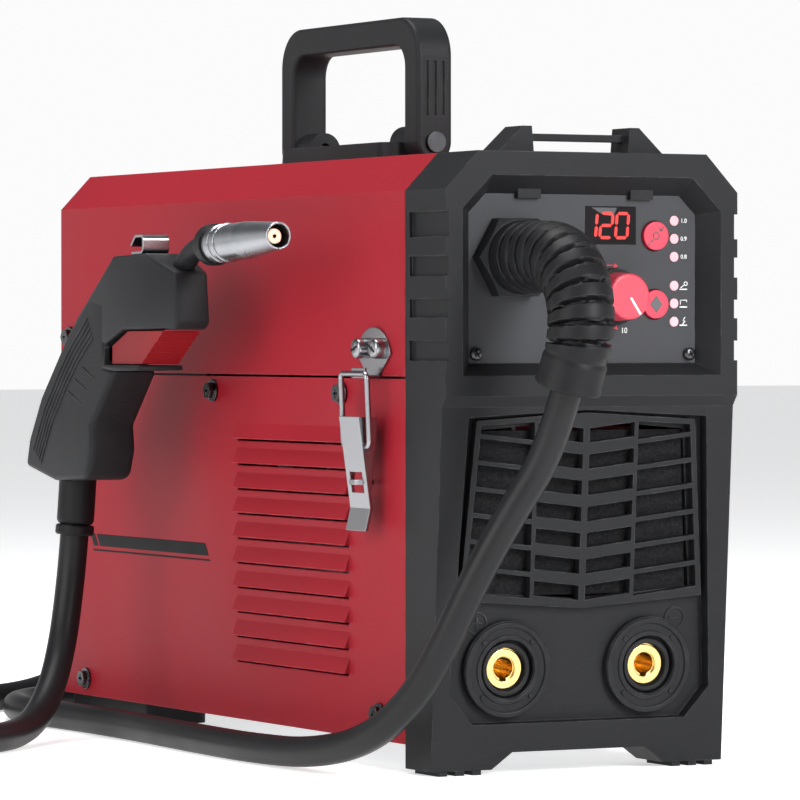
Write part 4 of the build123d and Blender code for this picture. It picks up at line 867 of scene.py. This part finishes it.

# domed heads of the panel's screws, with a cross recess given as painted shade: thin black bars stand for its
# dark slots
PANEL_SCREW = (51.3, 174.9)  # distance from the middle, and height
bm = bmesh.new()
cross_shade = bmesh.new()
for side in (-1, 1):
    middle = Vector((side * PANEL_SCREW[0], PANEL_Y - 1.4, PANEL_SCREW[1]))
    dome = [(0, 2.6), (0.3, 2.6), (0.7, 2.1), (0.9, 1.4), (0.95, 0.5)]
    add_turned(bm, middle, FORWARD, dome, segments=32)
    for lean in (0.5, 0.5 + math.pi / 2):
        way = Vector((math.cos(lean), 0, math.sin(lean)))
        across = Vector((-way.z, 0, way.x)) * 0.3
        corners = bar_corners(middle + FORWARD * 0.9, way * 1.5, across)
        add_rings(cross_shade, [corners, [c + FORWARD * 0.14 for c in corners]])
make_object("panel_screw_heads", bm, looks["dark_chrome"], "machine", smooth=30)
make_object("panel_screw_cross_shade", cross_shade, black_print_and_recess_shade, "machine")

# ================================================================ lamp marks
for text, z in zip(("1.0", "0.9", "0.8"), LAMP_Z):
    label("lamp_mark_" + text.replace(".", "_"), text, LAMP_X + 4.9, z, 2.5, white_print)


def stroke(bm, first, last, width=0.34):
    """A printed line on the control panel."""
    a, b = Vector(first), Vector(last)
    way = (b - a).normalized()
    side = Vector((-way.y, way.x)) * width / 2
    add_prism(bm, [a - side, b - side, b + side, a + side], on_panel, THIN)


bm = bmesh.new()
for z in LAMP_Z[3:]:
    stroke(bm, (46.9, z - 1.5), (50.6, z - 1.5), 0.5)
z = LAMP_Z[3]
add_ring(bm, (49.9, z + 0.9), 0.6, 0.95, on_panel, THIN, steps=24)
stroke(bm, (47.4, z - 0.9), (49.3, z + 0.4))
z = LAMP_Z[4]
stroke(bm, (47.2, z + 1.4), (50.6, z + 1.4))
stroke(bm, (47.3, z + 1.4), (47.3, z - 0.5))
stroke(bm, (50.4, z + 1.4), (50.4, z + 0.5))
z = LAMP_Z[5]
stroke(bm, (49.6, z + 1.9), (48.5, z + 0.4))
stroke(bm, (48.5, z + 0.4), (49.7, z + 0.2))
stroke(bm, (49.7, z + 0.2), (48.3, z - 1.1))
make_object("mode_lamp_marks", bm, white_print, "machine")

# ================================================================ sockets
lower_way = Vector((0, LOWER_Y1 - LOWER_Y0, LOWER_Z1 - LOWER_Z0)).normalized()
lower_out = Vector((0, -lower_way.z, lower_way.y))


def on_face(x, z, proud):
    """A point that stands proud of the recess floor."""
    return Vector(on_recess(x, z)) + lower_out * proud


FLANGE_PROUD = 3.0
NOTCH_REACH = 16.1
for side, word in ((-1, "left"), (1, "right")):
    middle = on_face(side * SOCKET[0], SOCKET[1], FLANGE_PROUD)
    bm = bmesh.new()
    lip = [(0.0, 20.1), (0.5, 20.1), (0.9, 19.6), (0.9, 18.2), (0.5, 17.7), (0.0, 17.7)]
    add_turned(bm, middle, lower_out, lip, segments=72, loop=True)
    step = [(0.0, 14.6), (0.35, 14.6), (0.7, 14.2), (0.7, 13.0), (0.35, 12.6), (0.0, 12.6)]
    add_turned(bm, middle, lower_out, step, segments=72, loop=True)
    collar_ring = [(-3.8, 11.2), (-1.3, 11.2), (-0.9, 10.8), (-0.9, 9.6), (-1.3, 9.2), (-3.8, 9.2)]
    add_turned(bm, middle, lower_out, collar_ring, segments=72, loop=True)
    for k in range(4):
        angle = math.radians(45 + 90 * k)
        way = Vector((math.cos(angle), 0, 0)) + lower_way * math.sin(angle)
        notch = middle + way * NOTCH_REACH
        add_turned(bm, notch, lower_out, [(-0.1, 1.1), (0.5, 1.1), (0.6, 0.9)], segments=20)
    make_object(f"{word}_socket_rings", bm, looks["black_moulding"], "machine", smooth=30)
    bm = bmesh.new()
    bead = [(-3.95, 8.4), (-3.2, 8.4), (-3.0, 8.1), (-3.0, 5.4), (-3.2, 5.1), (-3.95, 5.1)]
    add_turned(bm, middle, lower_out, bead, segments=64, loop=True)
    make_object(f"{word}_contact_bead", bm, looks["brass"], "machine", smooth=30)

POLARITY = (47.6, 63.0)  # distance from the middle, and height
bm = bmesh.new()
for side in (-1, 1):
    centre = on_face(side * POLARITY[0], POLARITY[1], 0.0)
    add_turned(bm, centre, lower_out, [(0, 4.9), (0.45, 4.9), (0.45, 4.1), (0, 4.1)], segments=48, loop=True)
    bars = [(2.6, 0.35)] + ([(0.35, 2.6)] if side < 0 else [])
    for wide, high in bars:
        corners = bar_corners(centre, Vector((wide, 0, 0)), lower_way * high)
        add_rings(bm, [corners, [c + lower_out * 0.45 for c in corners]])
make_object("polarity_marks", bm, looks["black_moulding"], "machine")

# dark foam sheet behind the front grille, painted shade: it stands in for the darkness inside the case
foam = finish(
    "shade_sheet_foam", (0.012, 0.012, 0.013), 0.95, mottle=0.5, mottle_scale=700.0, grain_scale=1600.0,
    depth=0.0006, specular=0.1,
)
bm = bmesh.new()
COLUMNS, ROWS = 60, 44
SHADE_SHEET_Z0, SHADE_SHEET_Z1 = 74.0, 143.0
SHADE_SHEET_HALF, SHADE_SHEET_NARROWS = 53.0, 4.5
back, front = [], []
for i in range(ROWS + 1):
    z = SHADE_SHEET_Z0 + (SHADE_SHEET_Z1 - SHADE_SHEET_Z0) * i / ROWS
    half = SHADE_SHEET_HALF - SHADE_SHEET_NARROWS * i / ROWS
    for j in range(COLUMNS + 1):
        x = half * (2 * j / COLUMNS - 1)
        ripple = 0.25 * math.sin(x * 1.9) * math.cos(z * 2.1)
        front.append(bm.verts.new(on_face(x, z, -1.2 + ripple)))
        back.append(bm.verts.new(on_face(x, z, -3.2)))
for i in range(ROWS):
    for j in range(COLUMNS):
        a = i * (COLUMNS + 1) + j
        b, c, d = a + 1, a + COLUMNS + 2, a + COLUMNS + 1
        bm.faces.new((front[a], front[b], front[c], front[d]))
        bm.faces.new((back[d], back[c], back[b], back[a]))
edges = (
    [(k, k + 1) for k in range(COLUMNS)]
    + [(k * (COLUMNS + 1) + COLUMNS, (k + 1) * (COLUMNS + 1) + COLUMNS) for k in range(ROWS)]
    + [(ROWS * (COLUMNS + 1) + k + 1, ROWS * (COLUMNS + 1) + k) for k in range(COLUMNS)]
    + [((k + 1) * (COLUMNS + 1), k * (COLUMNS + 1)) for k in range(ROWS)]
)
for a, b in edges:
    bm.faces.new((front[b], front[a], back[a], back[b]))
make_object("grille_shade_sheet", bm, foam, "machine", smooth=60)

# ================================================================ stripe on the left panel
bm = bmesh.new()
for outline in (
    [(31.0, 83.4), (150.6, 83.4), (154.4, 89.0), (34.8, 89.0)],
    [(29.6, 81.0), (158.0, 81.0), (158.5, 81.8), (30.1, 81.8)],
    [(152.6, 83.4), (157.6, 83.4), (161.4, 89.0), (156.4, 89.0)],
):
    add_prism(bm, outline, on_left, LEFT_PROUD)
make_object("side_stripe", bm, black_print_and_recess_shade, "machine")

# ================================================================ torch nozzle and spool
NOZZLE_BACK = Vector((middle_of("torch_nozzle").x, -66.0, 221.8))
NOZZLE_AIM = Vector((0, -60, 2.7)).normalized()
bm = bmesh.new()
for along in (7.0, 12.5):
    band = []
    for k in range(12):
        angle = math.tau * k / 12
        band.append((along + 0.5 * math.cos(angle), 8.05 + 0.5 * math.sin(angle)))
    add_turned(bm, NOZZLE_BACK, NOZZLE_AIM, band, segments=64, loop=True)
rim = [(59.4, 5.7), (60.1, 5.7), (60.3, 5.4), (60.1, 5.1), (59.4, 5.1)]
add_turned(bm, NOZZLE_BACK, NOZZLE_AIM, rim, segments=64, loop=True)
make_object("nozzle_rings", bm, looks["chrome"], "machine", smooth=40)

SPOOL_LOW, SPOOL_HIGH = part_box("wire_spool")
SPOOL_MIDDLE = middle_of("wire_spool")
FLANGE_T = 2.1
WIND_FROM, WIND_TO = SPOOL_LOW.x / MM + FLANGE_T, SPOOL_HIGH.x / MM - FLANGE_T
WIND_TURNS = 39
WIND_INNER, WIND_OUTER = 37.6, 44.0
bm = bmesh.new()
pitch = (WIND_TO - WIND_FROM) / WIND_TURNS
profile = [(0.0, WIND_INNER), (0.0, WIND_OUTER)]
for turn in range(WIND_TURNS):
    for share in (0.15, 0.35, 0.5, 0.65, 0.85):
        profile.append((pitch * (turn + share), WIND_OUTER + 0.5 * math.sin(math.pi * share)))
profile += [(pitch * WIND_TURNS, WIND_OUTER), (pitch * WIND_TURNS, WIND_INNER)]
wind_start = Vector((WIND_FROM, SPOOL_MIDDLE.y, SPOOL_MIDDLE.z))
add_turned(bm, wind_start, (1, 0, 0), profile, segments=72, loop=True)
make_object("wound_wire", bm, wire_metal, "spool", smooth=50)


# ================================================================ torch handle
TORCH_LOW, TORCH_HIGH = corners_of("torch_handle")
TORCH_X = (TORCH_LOW.x + TORCH_HIGH.x) / 2
TORCH_HALF = (TORCH_HIGH.x - TORCH_LOW.x) / 2
NOSE_Y = -35.0  # in front of this the handle is narrower
GRIP = [
    (46.3, 119.7), (51.1, 117.6), (84.7, 116.5), (116.8, 122.6), (113.0, 135.2), (99.4, 154.7), (68.9, 183.6),
    (44.0, 200.6), (28.0, 198.0), (28.0, 169.0), (18.0, 166.9), (43.0, 142.0), (41.6, 131.1),
]
HEAD = [
    (-42.3, 188.0), (-38.7, 185.2), (9.0, 185.2), (28.0, 178.5), (62.0, 188.3), (25.1, 213.6), (19.1, 217.9),
    (-14.8, 218.6), (-39.6, 210.1),
]
GUARD = [(28.0, 178.0), (28.0, 169.6), (-7.5, 169.6), (-8.2, 167.3), (18.0, 166.9), (31.0, 168.0)]


def handle_block(outline, offset, segments, nose=TORCH_HALF):
    """A profile of the torch's side as a solid with rounded edges; the nose narrows to the front."""
    bm = bmesh.new()
    sides = []
    for way in (-1, 1):
        row = []
        for y, z in outline:
            half = nose if y < NOSE_Y else TORCH_HALF
            row.append(bm.verts.new((TORCH_X + way * half, y, z)))
        sides.append(row)
    left, right = sides
    bm.faces.new(left)
    bm.faces.new(list(reversed(right)))
    for k in range(len(outline)):
        n = (k + 1) % len(outline)
        bm.faces.new((left[n], left[k], right[k], right[n]))
    bmesh.ops.recalc_face_normals(bm, faces=bm.faces)
    edges = list(bm.edges)
    bmesh.ops.bevel(
        bm, geom=edges, offset=offset, segments=segments, profile=0.5, affect="EDGES", clamp_overlap=True
    )
    return bm


bm = handle_block(GRIP, 4.6, 6)
grip = make_object("torch_grip", bm, looks["black_moulding"], "machine", smooth=30)
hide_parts("torch_handle")

# hole in the grip for the trigger's stem
STEM_START, STEM_L, STEM_R = Vector((TORCH_X, 24.0, 175.5)), 18.5, 2.4
bm = bmesh.new()
add_turned(bm, STEM_START, (0, 1, 0), [(0, STEM_R), (STEM_L, STEM_R)], segments=32)
drill = bare_object("drill", bm)
cut = grip.modifiers.new("stem_hole", "BOOLEAN")
cut.operation = "DIFFERENCE"
cut.solver = "EXACT"
cut.object = drill
bored = shown_mesh(grip)
grip.modifiers.clear()
grip.data = bored
bpy.data.objects.remove(drill)

bm = handle_block(HEAD, 1.5, 3, nose=8.0)
make_object("torch_head", bm, looks["black_moulding"], "machine", smooth=30)
bm = handle_block(GUARD, 0.5, 2)
make_object("torch_guard", bm, looks["black_moulding"], "machine", smooth=30)


STRIP_PROUD, STRIP_SINK = 0.3, 0.6


def strip(bm, points, width, way):
    """A raised strip along points of the handle's side; way is -1 for the left side."""
    left, right = [], []
    for k, point in enumerate(points):
        before = Vector(points[max(0, k - 1)])
        after = Vector(points[min(len(points) - 1, k + 1)])
        run = (after - before).normalized()
        side = Vector((-run.y, run.x)) * width / 2
        left.append(Vector(point) - side)
        right.append(Vector(point) + side)
    rings = []
    for a, b in zip(left, right):
        inner = TORCH_X + way * (TORCH_HALF - STRIP_SINK)
        outer = TORCH_X + way * (TORCH_HALF + STRIP_PROUD)
        rings.append([(inner, a.x, a.y), (outer, a.x, a.y), (outer, b.x, b.y), (inner, b.x, b.y)])
    add_rings(bm, rings)


REAR_EDGE = [(112.4, 134.0), (99.0, 153.6), (84.0, 169.0), (68.0, 183.2), (50.0, 195.6)]
RIB_INSET, RIB_SPACING, RIB_W = 6.5, 2.6, 0.7
bm = bmesh.new()
for way in (-1, 1):
    for number in range(5):
        inset = RIB_INSET + RIB_SPACING * number
        line = []
        for k, point in enumerate(REAR_EDGE):
            before = Vector(REAR_EDGE[max(0, k - 1)])
            after = Vector(REAR_EDGE[min(len(REAR_EDGE) - 1, k + 1)])
            run = (after - before).normalized()
            line.append(Vector(point) + Vector((-run.y, run.x)) * inset)
        strip(bm, line, RIB_W, way)
make_object("torch_side_ribs", bm, looks["black_moulding"], "machine")

# soft bands that wrap the front half of the grip
GRIP_LOW, GRIP_HIGH = Vector((41.0, 144.0)), Vector((19.0, 166.0))  # ends of the grip's front edge
BANDS = ((0.12, 31.0), (0.4, 29.0), (0.68, 27.0))  # how far up that edge, and how far round each reaches
bm = bmesh.new()
for share, reach in BANDS:
    start = GRIP_LOW.lerp(GRIP_HIGH, share)
    run = Vector((22.0, 8.0)).normalized()
    rings = []
    for k in range(13):
        swing = math.pi * k / 12
        depth = -math.cos(swing) * (TORCH_HALF + 0.12)
        back = reach * (1 - math.sin(swing) ** 0.35) if 0 < k < 12 else reach
        point = start + run * max(back, 0.0)
        out = Vector((math.copysign(1, depth), 0, 0)) if back > 2 else Vector((0, -run.x, -run.y))
        side = Vector((0, -run.y, run.x)) * 0.35
        middle = Vector((TORCH_X + depth, point.x, point.y))
        low, high = out * -0.5, out * 0.2
        rings.append([middle - side + low, middle - side + high, middle + side + high, middle + side + low])
    add_rings(bm, rings)
make_object("torch_grip_bands", bm, looks["rubber_black"], "machine", smooth=50)

# ================================================================ slotted screws of the latch catches
CATCH_Y = middle_of("latch_catches").y
CATCH_FACE = 71.2  # distance of the catch plates' faces from the middle
SLOT_FACE = 76.1
CATCH_SCREW_Z = 177.2
CATCH_SCREW_DOME = [
    (0.0, 4.35), (3.4, 4.35), (4.3, 4.0), (4.9, 3.2), (5.1, 2.2), (5.1, 0.9), (4.5, 0.85), (4.5, 0.3),
]
CATCH_SCREWS = ((-8.0, 0.5), (8.0, -0.3))  # how far along the catch, and how the slot leans
bm = bmesh.new()
for side in (-1, 1):
    for y, lean in CATCH_SCREWS:
        foot = Vector((side * CATCH_FACE, CATCH_Y + y, CATCH_SCREW_Z))
        add_turned(bm, foot, (side, 0, 0), CATCH_SCREW_DOME, segments=40)
make_object("catch_screws", bm, looks["chrome"], "cover", smooth=30)
# painted shade: thin black bars on the screw heads stand for the dark slots
bm = bmesh.new()
for side in (-1, 1):
    for y, lean in CATCH_SCREWS:
        middle = Vector((side * SLOT_FACE, CATCH_Y + y, CATCH_SCREW_Z))
        way = Vector((0, math.cos(lean), math.sin(lean)))
        across = Vector((0, -way.z, way.y)) * 0.4
        corners = bar_corners(middle, way * 2.9, across)
        add_rings(bm, [corners, [c + Vector((side * 0.35, 0, 0)) for c in corners]])
make_object("catch_screw_slot_shade", bm, black_print_and_recess_shade, "cover")

# ================================================================ floor and light
FLOOR_HALF = 14.0  # metres
bm = bmesh.new()
bmesh.ops.create_grid(bm, x_segments=24, y_segments=24, size=FLOOR_HALF)
floor_mesh = bpy.data.meshes.new("floor")
bm.to_mesh(floor_mesh)
bm.free()
floor_look = finish(
    "pale_floor", (0.88, 0.88, 0.88), 0.6, mottle=0.015, mottle_scale=2.0, grain=0.02,
    grain_scale=300.0, depth=0.00001,
)
floor_shader = floor_look.node_tree.nodes["Principled BSDF"]
floor_shader.inputs["Emission Color"].default_value = (1, 1, 1, 1)
floor_shader.inputs["Emission Strength"].default_value = 0.55
floor_mesh.materials.append(floor_look)
floor = bpy.data.objects.new("floor", floor_mesh)
scene.collection.objects.link(floor)
floor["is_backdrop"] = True

world = bpy.data.worlds.new("studio")
scene.world = world
world.use_nodes = True
tree = world.node_tree
sky = node(tree, "ShaderNodeTexCoord").outputs["Generated"]
split = node(tree, "ShaderNodeSeparateXYZ")
link(tree, sky, split.inputs["Vector"])
ramp = node(tree, "ShaderNodeValToRGB")
ramp.color_ramp.elements[0].position = 0.075
ramp.color_ramp.elements[0].color = (1, 1, 1, 1)
ramp.color_ramp.elements[1].position = 0.4
ramp.color_ramp.elements[1].color = (0.12, 0.125, 0.135, 1)
link(tree, split.outputs["Z"], ramp.inputs["Fac"])
link(tree, ramp.outputs["Color"], tree.nodes["Background"].inputs["Color"])
tree.nodes["Background"].inputs["Strength"].default_value = 0.97


def softbox(name, place, aim, width, height, power):
    """A rectangular lamp turned to a point."""
    data = bpy.data.lights.new(name, "AREA")
    data.shape = "RECTANGLE"
    data.size = width
    data.size_y = height
    data.energy = power
    lamp = bpy.data.objects.new(name, data)
    lamp.location = place
    way = Vector(aim) - Vector(place)
    lamp.rotation_euler = way.to_track_quat("-Z", "Y").to_euler()
    scene.collection.objects.link(lamp)


softbox("key_light", (-2.0, -0.5, 0.9), (0, 0, 0.14), 1.6, 1.4, 26)
softbox("front_light", (0.5, -2.0, 1.0), (0, -0.15, 0.15), 0.7, 1.0, 52)
softbox("top_light", (-0.2, 0.2, 1.8), (0, 0, 0.2), 1.3, 1.1, 30)
scene.view_settings.view_transform = "Standard"

low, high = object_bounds()
